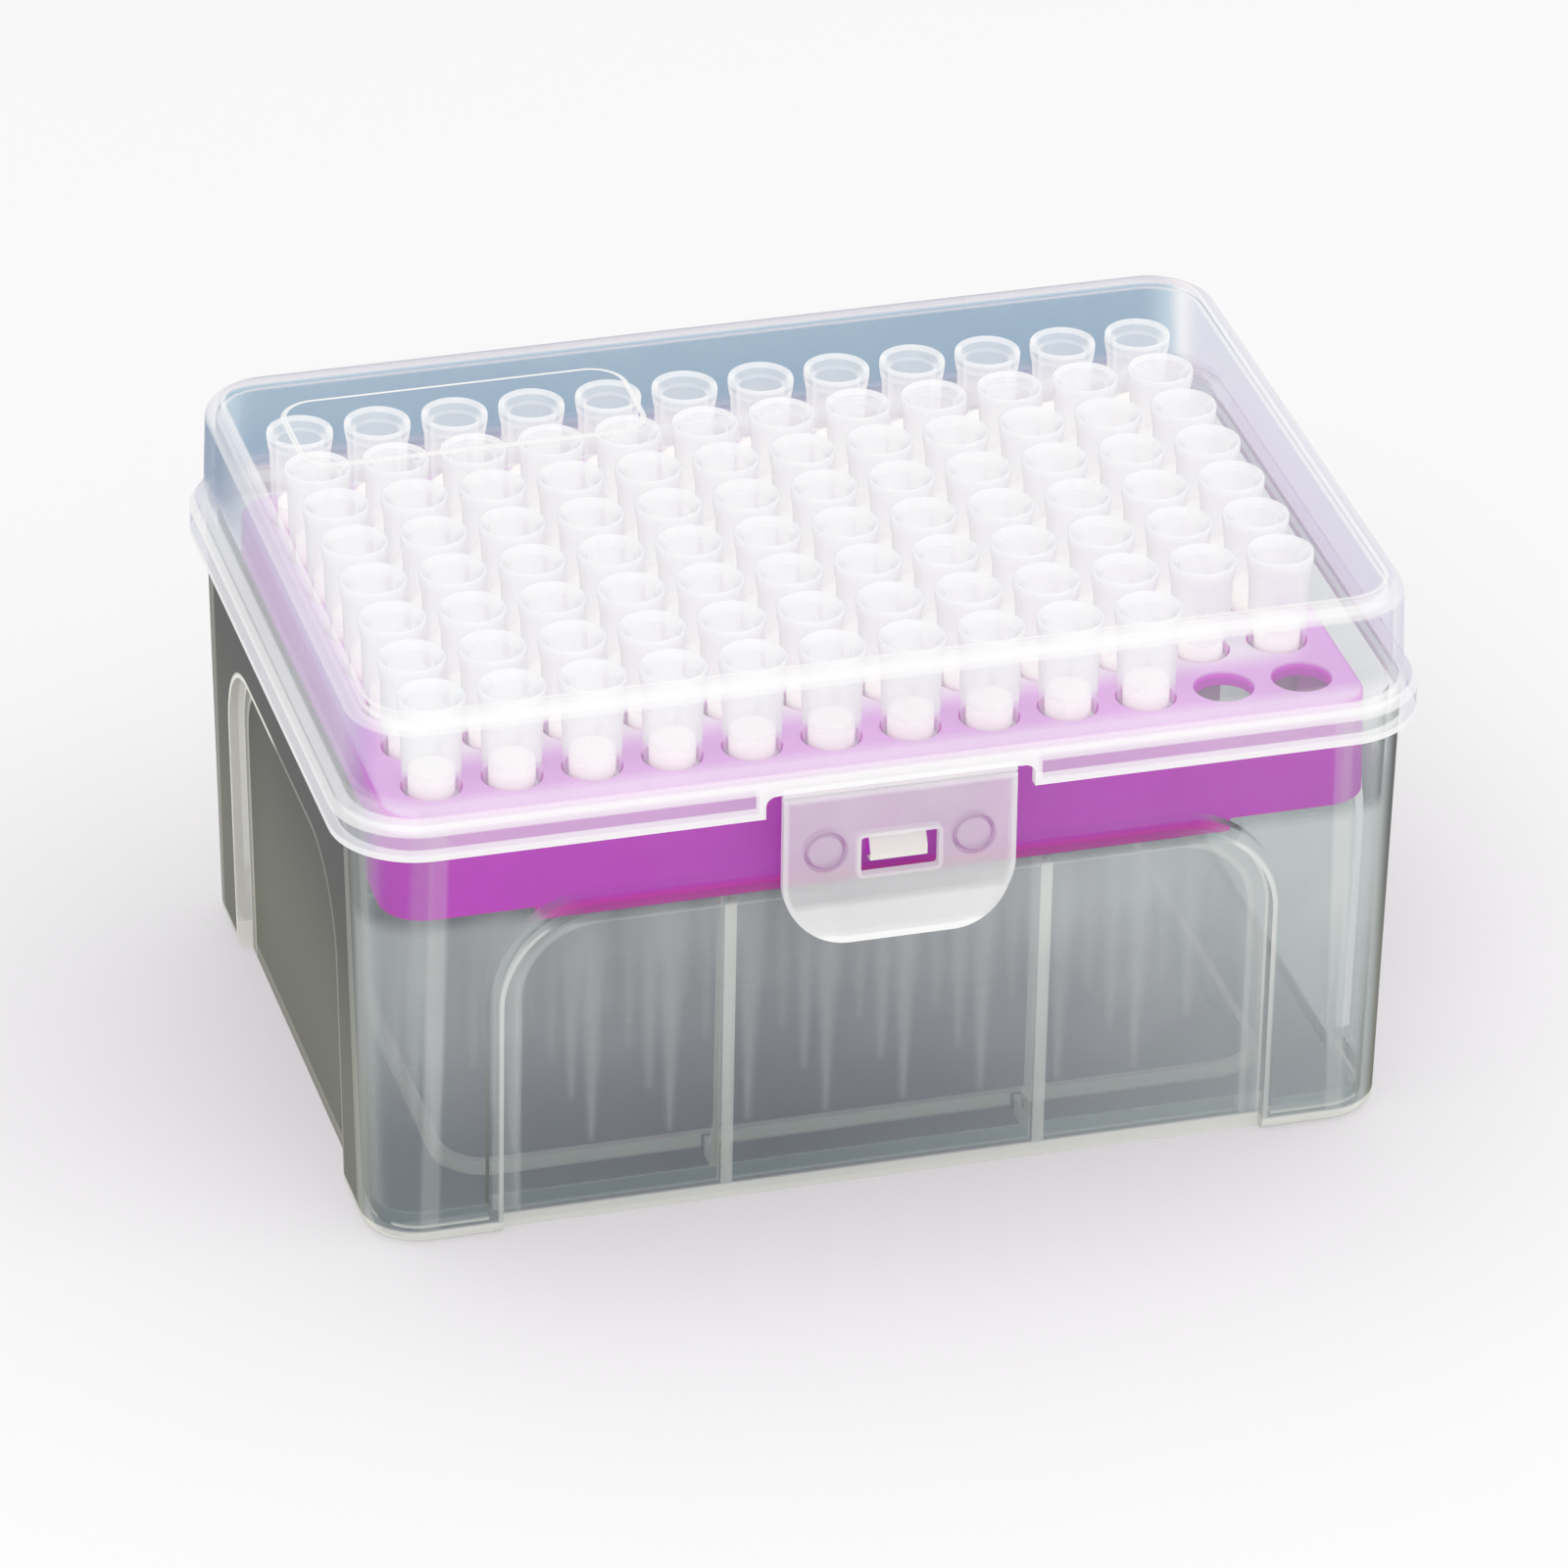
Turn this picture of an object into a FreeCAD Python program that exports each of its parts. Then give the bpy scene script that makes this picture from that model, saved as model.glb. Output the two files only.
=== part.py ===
import FreeCAD, Part
import math
import os
import re
import Sketcher

# A 96-place box of filter pipette tips: base tub, carrier plate, lid, latch tab, and eight rows of
# tips with their filters. Millimetres. +Z is up, the latch faces -Y, and the origin is on the
# surface that the box stands on, under the middle of the 12 by 8 grid of tips.

Vector = FreeCAD.Vector
Constraint = Sketcher.Constraint

SIZES = {
    # How far a cut runs past the wall that it goes through.
    "through": 3.0,
    # Base tub.
    "foot_length": 117.2,
    "foot_width": 81.8,
    "base_height": 54.0,
    "base_draft": 1.2,
    "base_corner": 6.5,
    "foot_round": 1.5,
    "wall": 1.3,
    "floor_thickness": 1.5,
    # Sunk panels in its four walls, open at the bottom.
    "panel_depth": 1.7,
    "panel_top": 40.4,
    "panel_corner": 11.0,
    "front_panel_width": 87.8,
    "side_panel_width": 53.4,
    # Raised middle of its floor.
    "plateau_length": 96.0,
    "plateau_width": 60.6,
    "plateau_top": 3.0,
    "plateau_corner": 6.0,
    # Ribs inside its front and back walls.
    "rib_place": 18.0,
    "rib_thickness": 1.2,
    "rib_top": 38.4,
    "rib_depth": 2.4,
    "rib_foot_depth": 7.5,
    "rib_foot_height": 6.0,
    # Catch on its front.
    "catch_width": 6.6,
    "catch_low": 43.4,
    "catch_crest": 44.5,
    "catch_high": 46.0,
    "catch_front": 43.25,
    "catch_top_front": 42.5,
    # Rear hinge.
    "hinge_back": 45.2,
    "hinge_height": 50.6,
    "hinge_place": 31.0,
    "arm_thickness": 3.5,
    "arm_radius": 2.3,
    "arm_gap": 0.25,
    "lug_thickness": 2.0,
    "lug_radius": 2.4,
    "lug_top": 52.6,
    "lug_root": 45.0,
    "web_angle": 30.0,
    "pin_radius": 1.25,
    "pin_gap": 0.08,
    "stop_reach": 3.1,
    "heel_angle": 40.0,
    "lid_travel": 105.0,
    # Grid of tips.
    "pitch": 9.0,
    "columns": 12,
    "rows": 8,
    "empty_places": 2,
    # Carrier plate.
    "tray_length": 111.6,
    "tray_width": 76.6,
    "tray_corner": 5.0,
    "tray_round": 0.8,
    "tray_top": 52.8,
    "tray_plate": 1.6,
    "tray_wall": 1.2,
    "tray_end_low": 40.1,
    "tray_low": 38.5,
    "tray_low_length": 79.0,
    "hole_radius": 3.2,
    "sink_radius": 3.44,
    "sink_depth": 0.6,
    # Lid.
    "lid_length": 120.0,
    "lid_width": 84.2,
    "lid_corner": 8.0,
    "lid_draft": 2.0,
    "lid_top": 66.8,
    "lid_edge_round": 2.0,
    "lid_wall": 1.2,
    "step_top": 56.2,
    "step_low": 53.9,
    "step_out": 1.6,
    "flange_low": 50.5,
    "cutout_width": 30.4,
    "cutout_top": 53.2,
    # Thin raised frame on the lid, for a label.
    "frame_left": -51.8,
    "frame_right": -12.2,
    "frame_front": 17.2,
    "frame_back": 32.9,
    "frame_corner": 4.0,
    "frame_line": 0.5,
    "frame_height": 0.15,
    # Latch tab.
    "tab_width": 26.4,
    "tab_top": 52.4,
    "tab_low": 34.4,
    "tab_corner": 7.3,
    "tab_front": 43.75,
    "tab_thickness": 1.0,
    "lip_top": 38.5,
    "lip_out": 1.15,
    "tab_axis_front": 43.2,
    "tab_axis_height": 53.0,
    "bead_radius": 0.5,
    "bead_gap": 0.07,
    "neck_thickness": 0.4,
    "window_width": 8.8,
    "window_low": 42.0,
    "window_high": 46.65,
    "disc_place": 8.4,
    "disc_height": 45.4,
    "disc_radius": 2.2,
    "disc_depth": 0.15,
    # One tip.
    "tip_top": 64.1,
    "tip_low": 5.1,
    "rim_radius": 3.78,
    "rim_height": 1.2,
    "neck_radius": 3.5,
    "seat_radius": 3.19,
    "seat_height": 52.2,
    "shank_radius": 2.93,
    "shank_height": 45.0,
    "taper_radius": 1.95,
    "taper_height": 27.0,
    "end_radius": 0.62,
    "mouth_radius": 3.5,
    "mouth_depth": 0.9,
    "bore_radius": 2.74,
    "tip_wall": 0.42,
    "end_bore_radius": 0.3,
    # One filter.
    "filter_low": 46.0,
    "filter_top": 55.2,
    "filter_gap": 0.02,
}

doc = FreeCAD.newDocument("PipetteTipBox")
sheet = doc.addObject("Spreadsheet::Sheet", "Sizes")
for row, (alias, size) in enumerate(SIZES.items(), start=1):
    sheet.set(f"A{row}", str(size))
    sheet.setAlias(f"A{row}", alias)
doc.recompute()


# Working with the sheet.

def formula(text):
    """Write each size in an expression as its cell of the sheet."""
    def cell(match):
        word = match.group(0)
        return "Sizes." + word if word in SIZES else word
    return re.sub(r"[a-z_]+", cell, str(text))


def value(text):
    """The number that an expression gives now."""
    return float(sheet.evalExpression(formula(text)))


def bind(thing, **expressions):
    for name, text in expressions.items():
        thing.setExpression(name, formula(text))


# Sketches.

def sketch(body, name, role, rise="0", tilt=None):
    """A sketch on one of the body's origin planes, moved along the plane's normal by rise."""
    made = body.newObject("Sketcher::SketchObject", name)
    support = next(item for item in body.Origin.OriginFeatures if item.Role == role)
    made.AttachmentSupport = [(support, "")]
    made.MapMode = "FlatFace"
    turn = FreeCAD.Rotation(Vector(1, 0, 0), value(tilt or "0"))
    made.AttachmentOffset = FreeCAD.Placement(Vector(0, 0, value(rise)), turn)
    made.setExpression("AttachmentOffset.Base.z", formula(rise))
    if tilt:
        made.setExpression("AttachmentOffset.Rotation.Angle", formula(tilt))
    return made


def hold(made, kind, geometry, point, text):
    """Hold one point's distance from the sketch's origin to an expression."""
    index = made.addConstraint(Constraint(kind, -1, 1, geometry, point, value(text)))
    made.setExpression(f"Constraints[{index}]", formula(text))


def polygon(made, points):
    """A closed outline of straight sides through points given as pairs of expressions."""
    places = [Vector(value(across), value(up), 0) for across, up in points]
    sides = []
    for start, end in zip(places, places[1:] + places[:1]):
        sides.append(made.addGeometry(Part.LineSegment(start, end)))
    for side, following in zip(sides, sides[1:] + sides[:1]):
        made.addConstraint(Constraint("Coincident", side, 2, following, 1))
    for side, (across, up) in zip(sides, points):
        hold(made, "DistanceX", side, 1, across)
        hold(made, "DistanceY", side, 1, up)
    return made


def circle(made, across, up, radius):
    centre = Vector(value(across), value(up), 0)
    ring = made.addGeometry(Part.Circle(centre, Vector(0, 0, 1), value(radius)))
    hold(made, "DistanceX", ring, 3, across)
    hold(made, "DistanceY", ring, 3, up)
    index = made.addConstraint(Constraint("Radius", ring, value(radius)))
    made.setExpression(f"Constraints[{index}]", formula(radius))
    return made


def rectangle(made, left, right, low, high, radius="0", rounded=(True, True, True, True)):
    """A rectangle from expressions for its sides.

    rounded says which corners are round: right low, right high, left high, left low.
    """
    x_low, x_high = value(left), value(right)
    y_low, y_high = value(low), value(high)
    corner = value(radius)
    corners = [
        Vector(x_high, y_low, 0),
        Vector(x_high, y_high, 0),
        Vector(x_low, y_high, 0),
        Vector(x_low, y_low, 0),
    ]
    ways = [Vector(0, 1, 0), Vector(-1, 0, 0), Vector(0, -1, 0), Vector(1, 0, 0)]
    reaches = [corner if is_round else 0 for is_round in rounded]
    sides = []
    for number, way in enumerate(ways):
        following = (number + 1) % 4
        start = corners[number] + way * reaches[number]
        end = corners[following] - way * reaches[following]
        sides.append(made.addGeometry(Part.LineSegment(start, end)))
    arcs = []
    for number, way in enumerate(ways):
        before = sides[number - 1]
        after = sides[number]
        if not reaches[number]:
            made.addConstraint(Constraint("Coincident", before, 2, after, 1))
            continue
        centre = corners[number] + (way - ways[number - 1]) * corner
        ring = Part.Circle(centre, Vector(0, 0, 1), corner)
        start = math.radians(90 * number - 90)
        arc = made.addGeometry(Part.ArcOfCircle(ring, start, start + math.pi / 2))
        made.addConstraint(Constraint("Tangent", before, 2, arc, 1))
        made.addConstraint(Constraint("Tangent", arc, 2, after, 1))
        arcs.append(arc)
    for side, kind in zip(sides, ("Vertical", "Horizontal", "Vertical", "Horizontal")):
        made.addConstraint(Constraint(kind, side))
    hold(made, "DistanceX", sides[0], 1, right)
    hold(made, "DistanceY", sides[1], 1, high)
    hold(made, "DistanceX", sides[2], 1, left)
    hold(made, "DistanceY", sides[3], 1, low)
    for arc in arcs[1:]:
        made.addConstraint(Constraint("Equal", arcs[0], arc))
    if arcs:
        index = made.addConstraint(Constraint("Radius", arcs[0], corner))
        made.setExpression(f"Constraints[{index}]", formula(radius))
    return made


def centred(made, length, width, radius):
    """A rectangle with four round corners about the sketch's origin."""
    across = f"({length}) / 2"
    up = f"({width}) / 2"
    return rectangle(made, f"-{across}", across, f"-{up}", up, radius)


# Features.

def extrude(kind, body, name, profile, length, taper=None, backward=False, both=False):
    feature = body.newObject(kind, name)
    feature.Profile = profile
    feature.Type = "Length"
    bind(feature, Length=length)
    if taper:
        bind(feature, TaperAngle=taper)
    if both:
        feature.SideType = "Symmetric"
    feature.Reversed = backward
    return feature


def pad(body, name, profile, length, **options):
    return extrude("PartDesign::Pad", body, name, profile, length, **options)


def pocket(body, name, profile, length, **options):
    return extrude("PartDesign::Pocket", body, name, profile, length, **options)


def mirror(body, name, originals, role):
    feature = body.newObject("PartDesign::Mirrored", name)
    support = next(item for item in body.Origin.OriginFeatures if item.Role == role)
    feature.Originals = originals
    feature.MirrorPlane = (support, [""])
    body.Tip = feature
    return feature


def edges(feature, wanted):
    """Names of the feature's edges whose bounding box passes a test."""
    doc.recompute()
    found = enumerate(feature.Shape.Edges, start=1)
    return [f"Edge{number}" for number, edge in found if wanted(edge.BoundBox)]


def fillet(body, name, feature, wanted, radius):
    rounded = body.newObject("PartDesign::Fillet", name)
    rounded.Base = (feature, edges(feature, wanted))
    bind(rounded, Radius=radius)
    return rounded


# Base tub.

def base_box():
    body = doc.addObject("PartDesign::Body", "base_box")
    outline = sketch(body, "FootOutline", "XY_Plane")
    centred(outline, "foot_length", "foot_width", "base_corner")
    outside = pad(body, "Outside", outline, "base_height", taper="base_draft")
    fillet(body, "FootRound", outside, lambda box: box.ZMax < 0.01, "foot_round")
    hollow = sketch(body, "HollowOutline", "XY_Plane", "floor_thickness")
    centred(hollow, "foot_length - 2 * wall", "foot_width - 2 * wall", "base_corner - wall")
    pocket(body, "Hollow", hollow, "base_height", taper="base_draft", backward=True)
    sunk_panel(body, "Front", "XZ_Plane", "foot_width / 2", "front_panel_width")
    sunk_panel(body, "Side", "YZ_Plane", "foot_length / 2", "side_panel_width")
    plateau(body)
    ribs(body)
    catch(body)
    hinge_lugs(body)
    return body


def sunk_panel(body, side, role, depth, width):
    """A recess in two opposite walls, with the wall swelled inwards to keep its thickness."""
    high_corners = (False, True, True, False)
    outline = sketch(body, f"{side}SwellOutline", role, f"{depth} - wall / 2", "base_draft")
    rectangle(
        outline, f"-{width} / 2 - wall", f"{width} / 2 + wall",
        "floor_thickness / 2", "panel_top + wall", "panel_corner + wall", high_corners,
    )
    swell = pad(body, f"{side}Swell", outline, "panel_depth + wall / 2", backward=True)
    outline = sketch(body, f"{side}PanelOutline", role, depth, "base_draft")
    rectangle(
        outline, f"-{width} / 2", f"{width} / 2", "-wall", "panel_top", "panel_corner", high_corners,
    )
    panel = pocket(body, f"{side}Panel", outline, "panel_depth")
    mirror(body, f"{side}PanelPair", [swell, panel], role)


def plateau(body):
    """The raised middle of the floor, hollow underneath."""
    outline = sketch(body, "PlateauOutline", "XY_Plane", "floor_thickness / 2")
    centred(outline, "plateau_length", "plateau_width", "plateau_corner")
    pad(body, "Plateau", outline, "plateau_top - floor_thickness / 2")
    outline = sketch(body, "UnderPlateauOutline", "XY_Plane")
    length = "plateau_length - 2 * floor_thickness"
    width = "plateau_width - 2 * floor_thickness"
    centred(outline, length, width, "plateau_corner - floor_thickness")
    pocket(body, "UnderPlateau", outline, "plateau_top - floor_thickness", backward=True)


def ribs(body):
    """Two ribs inside the front wall and two inside the back wall, each with a wider foot."""
    root = "(foot_width / 2 - panel_depth - wall / 2)"
    lean = "rib_top * tan(base_draft)"
    inner = "(foot_width / 2 - panel_depth - wall)"
    outline = sketch(body, "RibOutline", "YZ_Plane", "rib_place")
    for way in ("-1", "1"):
        polygon(outline, [
            (f"{way} * {root}", "floor_thickness / 2"),
            (f"{way} * ({inner} - rib_foot_depth)", "floor_thickness / 2"),
            (f"{way} * ({inner} - rib_foot_depth)", "floor_thickness + rib_foot_height / 4"),
            (f"{way} * ({inner} - rib_foot_depth / 2)", "floor_thickness + rib_foot_height / 2"),
            (f"{way} * ({inner} - rib_depth)", "floor_thickness + rib_foot_height"),
            (f"{way} * ({inner} - rib_depth + {lean})", "rib_top"),
            (f"{way} * ({root} + {lean})", "rib_top"),
        ])
    right = pad(body, "RightRibs", outline, "rib_thickness", both=True)
    mirror(body, "Ribs", [right], "YZ_Plane")


def catch(body):
    """The wedge that the latch tab's window snaps over: flat below, sloping above."""
    outline = sketch(body, "CatchOutline", "YZ_Plane")
    polygon(outline, [
        ("-foot_width / 2", "catch_low"),
        ("-catch_front", "catch_low"),
        ("-catch_front", "catch_crest"),
        ("-catch_top_front", "catch_high"),
        ("-foot_width / 2", "catch_high"),
    ])
    pad(body, "Catch", outline, "catch_width", both=True)


LUG_PLACE = "(arm_thickness / 2 + arm_gap + lug_thickness / 2)"


def hinge_lugs(body):
    """Four lugs on the back wall, in pairs, each a web that ends in an eye round the axis."""
    root = "foot_width / 2 + base_height * tan(base_draft) - wall / 2"
    features = []
    for name, place in (
        ("Inner", f"hinge_place - {LUG_PLACE}"),
        ("Outer", f"hinge_place + {LUG_PLACE}"),
    ):
        outline = sketch(body, f"{name}WebOutline", "YZ_Plane", place)
        polygon(outline, [
            (root, "lug_root"),
            ("hinge_back + lug_radius * sin(web_angle)", "hinge_height - lug_radius * cos(web_angle)"),
            ("hinge_back", "hinge_height"),
            ("hinge_back - lug_radius * sin(web_angle)", "lug_top"),
            (root, "lug_top"),
        ])
        features.append(pad(body, f"{name}Web", outline, "lug_thickness", both=True))
        outline = sketch(body, f"{name}EyeOutline", "YZ_Plane", place)
        circle(outline, "hinge_back", "hinge_height", "lug_radius")
        features.append(pad(body, f"{name}Eye", outline, "lug_thickness", both=True))
    outline = sketch(body, "BoreOutline", "YZ_Plane", "hinge_place")
    circle(outline, "hinge_back", "hinge_height", "pin_radius + pin_gap")
    width = f"2 * {LUG_PLACE} + 2 * lug_thickness"
    features.append(pocket(body, "Bore", outline, width, both=True))
    mirror(body, "HingeLugs", features, "YZ_Plane")


# Carrier plate.

def tip_tray():
    body = doc.addObject("PartDesign::Body", "tip_tray")
    height = "(tray_top - tray_low)"
    spread = f"2 * {height} * tan(base_draft)"
    outline = sketch(body, "TrayOutline", "XY_Plane", "tray_low")
    low_length = f"tray_length + {spread}"
    low_width = f"tray_width + {spread}"
    centred(outline, low_length, low_width, "tray_corner")
    block = pad(body, "TrayBlock", outline, height, taper="-base_draft")
    top = value("tray_top")
    fillet(body, "TrayRound", block, lambda box: box.ZMin > top - 0.01, "tray_round")
    outline = sketch(body, "TrayHollowOutline", "XY_Plane", "tray_low")
    hollow_length = f"{low_length} - 2 * tray_wall"
    hollow_width = f"{low_width} - 2 * tray_wall"
    centred(outline, hollow_length, hollow_width, "tray_corner - tray_wall")
    depth = f"{height} - tray_plate"
    pocket(body, "TrayHollow", outline, depth, taper="-base_draft", backward=True)

    # The skirt is deeper along the middle of the front and back, where it stands on the ribs.
    outline = sketch(body, "EndTrimOutline", "XY_Plane", "tray_low")
    rectangle(outline, "tray_low_length / 2", "tray_length", "-tray_width", "tray_width")
    right = pocket(body, "RightEndTrim", outline, "tray_end_low - tray_low", backward=True)
    mirror(body, "EndTrims", [right], "YZ_Plane")

    first_x = "-(columns - 1) / 2 * pitch"
    first_y = "-(rows - 1) / 2 * pitch"
    outline = sketch(body, "HoleOutline", "XY_Plane", "tray_top")
    circle(outline, first_x, first_y, "hole_radius")
    hole = pocket(body, "FirstHole", outline, "through")
    outline = sketch(body, "SinkOutline", "XY_Plane", "tray_top")
    circle(outline, first_x, first_y, "sink_radius")
    narrowing = "-atan((sink_radius - hole_radius) / sink_depth)"
    sink = pocket(body, "FirstSink", outline, "sink_depth", taper=narrowing)
    holes = body.newObject("PartDesign::LinearPattern", "Holes")
    holes.Originals = [hole, sink]
    holes.Direction = (outline, ["H_Axis"])
    holes.Direction2 = (outline, ["V_Axis"])
    bind(holes, Length="(columns - 1) * pitch", Occurrences="columns")
    bind(holes, Length2="(rows - 1) * pitch", Occurrences2="rows")
    body.Tip = holes
    return body


# Lid.

STEP_ANGLE = "atan(step_out / (step_top - step_low))"


def lid():
    body = doc.addObject("PartDesign::Body", "lid")
    flange_length = "lid_length + 2 * step_out"
    flange_width = "lid_width + 2 * step_out"
    flange_corner = "lid_corner + step_out"
    outline = sketch(body, "FlangeOutline", "XY_Plane", "flange_low")
    centred(outline, flange_length, flange_width, flange_corner)
    pad(body, "Flange", outline, "step_low - flange_low")
    outline = sketch(body, "StepOutline", "XY_Plane", "step_low")
    centred(outline, flange_length, flange_width, flange_corner)
    pad(body, "Step", outline, "step_top - step_low", taper=f"-{STEP_ANGLE}")
    outline = sketch(body, "CoverOutline", "XY_Plane", "step_top")
    centred(outline, "lid_length", "lid_width", "lid_corner")
    cover = pad(body, "Cover", outline, "lid_top - step_top", taper="-lid_draft")
    top = value("lid_top")
    fillet(body, "CoverRound", cover, lambda box: box.ZMin > top - 0.01, "lid_edge_round")
    lid_hollow(body, flange_length, flange_width, flange_corner)
    label_frame(body)
    latch_cutout(body)
    hinge_arms(body)
    return body


def lid_hollow(body, flange_length, flange_width, flange_corner):
    """The space under the lid, in three stages that follow the wall outside."""
    low_turn = f"lid_wall * tan({STEP_ANGLE} / 2)"
    high_turn = f"lid_wall * tan(({STEP_ANGLE} - lid_draft * 1 deg) / 2)"
    step_start = f"(step_low - {low_turn})"
    step_end = f"(step_top - {high_turn})"
    inset = f"(({step_end} - {step_start}) * tan({STEP_ANGLE}))"
    length = f"({flange_length} - 2 * lid_wall)"
    width = f"({flange_width} - 2 * lid_wall)"
    corner = f"({flange_corner} - lid_wall)"
    outline = sketch(body, "FlangeHollowOutline", "XY_Plane", "flange_low")
    centred(outline, length, width, corner)
    pocket(body, "FlangeHollow", outline, f"{step_start} - flange_low", backward=True)
    outline = sketch(body, "StepHollowOutline", "XY_Plane", step_start)
    centred(outline, length, width, corner)
    depth = f"{step_end} - {step_start}"
    pocket(body, "StepHollow", outline, depth, taper=f"-{STEP_ANGLE}", backward=True)
    outline = sketch(body, "CoverHollowOutline", "XY_Plane", step_end)
    centred(outline, f"{length} - 2 * {inset}", f"{width} - 2 * {inset}", f"{corner} - {inset}")
    depth = f"lid_top - lid_wall - {step_end}"
    hollow = pocket(body, "CoverHollow", outline, depth, taper="-lid_draft", backward=True)
    ceiling = value("lid_top - lid_wall")
    inner_round = "lid_edge_round - lid_wall"
    fillet(
        body, "CeilingRound", hollow,
        lambda box: abs(box.ZMin - ceiling) < 0.01 and abs(box.ZMax - ceiling) < 0.01,
        inner_round,
    )


def label_frame(body):
    outline = sketch(body, "LabelFrameOutline", "XY_Plane", "lid_top - lid_wall / 2")
    rectangle(outline, "frame_left", "frame_right", "frame_front", "frame_back", "frame_corner")
    rectangle(
        outline, "frame_left + frame_line", "frame_right - frame_line",
        "frame_front + frame_line", "frame_back - frame_line", "frame_corner - frame_line",
    )
    pad(body, "LabelFrame", outline, "lid_wall / 2 + frame_height")


def latch_cutout(body):
    """The gap in the front flange, and the groove above it that holds the latch tab's bead."""
    front = "lid_width / 2 + step_out"
    outline = sketch(body, "CutoutOutline", "XZ_Plane", front)
    rectangle(
        outline, "-cutout_width / 2", "cutout_width / 2", "flange_low - through", "cutout_top",
        "lid_wall", (False, True, True, False),
    )
    pocket(body, "Cutout", outline, "1.5 * lid_wall")
    outline = sketch(body, "GrooveOutline", "YZ_Plane")
    circle(outline, "-tab_axis_front", "tab_axis_height", "bead_radius + bead_gap")
    pocket(body, "Groove", outline, "tab_width + 4 * bead_gap", both=True)


def hinge_arms(body):
    """Two arms on the back flange, with pins to both sides, and the notches beside them."""
    back = "(lid_width / 2 + step_out)"
    features = []
    for name, place in (
        ("Inner", f"hinge_place - {LUG_PLACE}"),
        ("Outer", f"hinge_place + {LUG_PLACE}"),
    ):
        outline = sketch(body, f"{name}NotchOutline", "XZ_Plane", f"-{back}")
        half = "(lug_thickness / 2 + arm_gap)"
        rectangle(
            outline, f"{place} - {half}", f"{place} + {half}", "flange_low - through", "cutout_top",
        )
        notch = pocket(body, f"{name}Notch", outline, "1.5 * lid_wall", backward=True)
        features.append(notch)
    arm = sketch(body, "ArmOutline", "YZ_Plane", "hinge_place")
    polygon(arm, [
        (f"{back} - lid_wall / 2", "flange_low"),
        ("hinge_back", "hinge_height - arm_radius / 2"),
        ("hinge_back", "hinge_height"),
        ("hinge_back + arm_radius * cos(web_angle)", "hinge_height + arm_radius * sin(web_angle)"),
        ("hinge_back + arm_radius * sin(web_angle)", "hinge_height + arm_radius * cos(web_angle)"),
        (f"{back} - lid_wall / 4", "step_low"),
        (f"{back} - lid_wall / 2", "step_low"),
    ])
    features.append(pad(body, "Arm", arm, "arm_thickness", both=True))
    knuckle = sketch(body, "KnuckleOutline", "YZ_Plane", "hinge_place")
    circle(knuckle, "hinge_back", "hinge_height", "arm_radius")
    features.append(pad(body, "Knuckle", knuckle, "arm_thickness", both=True))
    features.append(stop_heel(body))
    pin = sketch(body, "PinOutline", "YZ_Plane", "hinge_place")
    circle(pin, "hinge_back", "hinge_height", "pin_radius")
    length = f"2 * {LUG_PLACE} + lug_thickness - 2 * arm_gap"
    features.append(pad(body, "Pins", pin, length, both=True))
    mirror(body, "HingeArms", features, "YZ_Plane")


def stop_heel(body):
    """A heel on each arm that comes up to the base's back wall when the lid is fully open."""
    facing = "(180 - lid_travel)"
    under = f"({facing} + heel_angle)"
    heel = sketch(body, "HeelOutline", "YZ_Plane", "hinge_place")
    face_y = f"hinge_back + stop_reach * cos({facing})"
    face_z = f"hinge_height - stop_reach * sin({facing})"
    half_face = "arm_radius / 2"
    polygon(heel, [
        ("hinge_back", "hinge_height"),
        (f"hinge_back + arm_radius * cos({under})", f"hinge_height - arm_radius * sin({under})"),
        (face_y, face_z),
        (f"{face_y} + {half_face} * sin({facing})", f"{face_z} + {half_face} * cos({facing})"),
        ("hinge_back + arm_radius", "hinge_height - arm_radius / 4"),
    ])
    return pad(body, "Heel", heel, "arm_thickness", both=True)


# Latch tab.

def latch_tab():
    body = doc.addObject("PartDesign::Body", "latch_tab")
    outline = sketch(body, "TabOutline", "XZ_Plane", "tab_front + through")
    rectangle(
        outline, "-tab_width / 2", "tab_width / 2", "tab_low", "tab_top", "tab_corner",
        (True, False, False, True),
    )
    pad(body, "TabBlock", outline, "tab_thickness + 2 * through", backward=True)
    outline = sketch(body, "TabFaces", "YZ_Plane")
    for face, far in (
        ("-tab_front", "-tab_front - 2 * through"),
        ("-(tab_front - tab_thickness)", "-tab_front + tab_thickness + 2 * through"),
    ):
        polygon(outline, [
            (far, "tab_top + lip_out"),
            (face, "tab_top + lip_out"),
            (face, "lip_top"),
            (f"{face} - lip_out", "tab_low"),
            (f"{face} - lip_out", "tab_low - lip_out"),
            (far, "tab_low - lip_out"),
        ])
    pocket(body, "TabTrim", outline, "tab_width + 2 * through", both=True)
    outline = sketch(body, "NeckOutline", "YZ_Plane")
    rectangle(
        outline, "-tab_axis_front - neck_thickness / 2", "-tab_axis_front + neck_thickness / 2",
        "tab_top - neck_thickness", "tab_axis_height",
    )
    pad(body, "Neck", outline, "tab_width", both=True)
    outline = sketch(body, "BeadOutline", "YZ_Plane")
    circle(outline, "-tab_axis_front", "tab_axis_height", "bead_radius")
    pad(body, "Bead", outline, "tab_width", both=True)
    outline = sketch(body, "WindowOutline", "XZ_Plane", "tab_front + lip_out")
    rectangle(
        outline, "-window_width / 2", "window_width / 2", "window_low", "window_high",
        "neck_thickness",
    )
    pocket(body, "Window", outline, "lip_out + through")
    outline = sketch(body, "DiscOutline", "XZ_Plane", "tab_front")
    circle(outline, "-disc_place", "disc_height", "disc_radius")
    circle(outline, "disc_place", "disc_height", "disc_radius")
    pocket(body, "Discs", outline, "disc_depth")
    return body


# Tips and filters.

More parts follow.
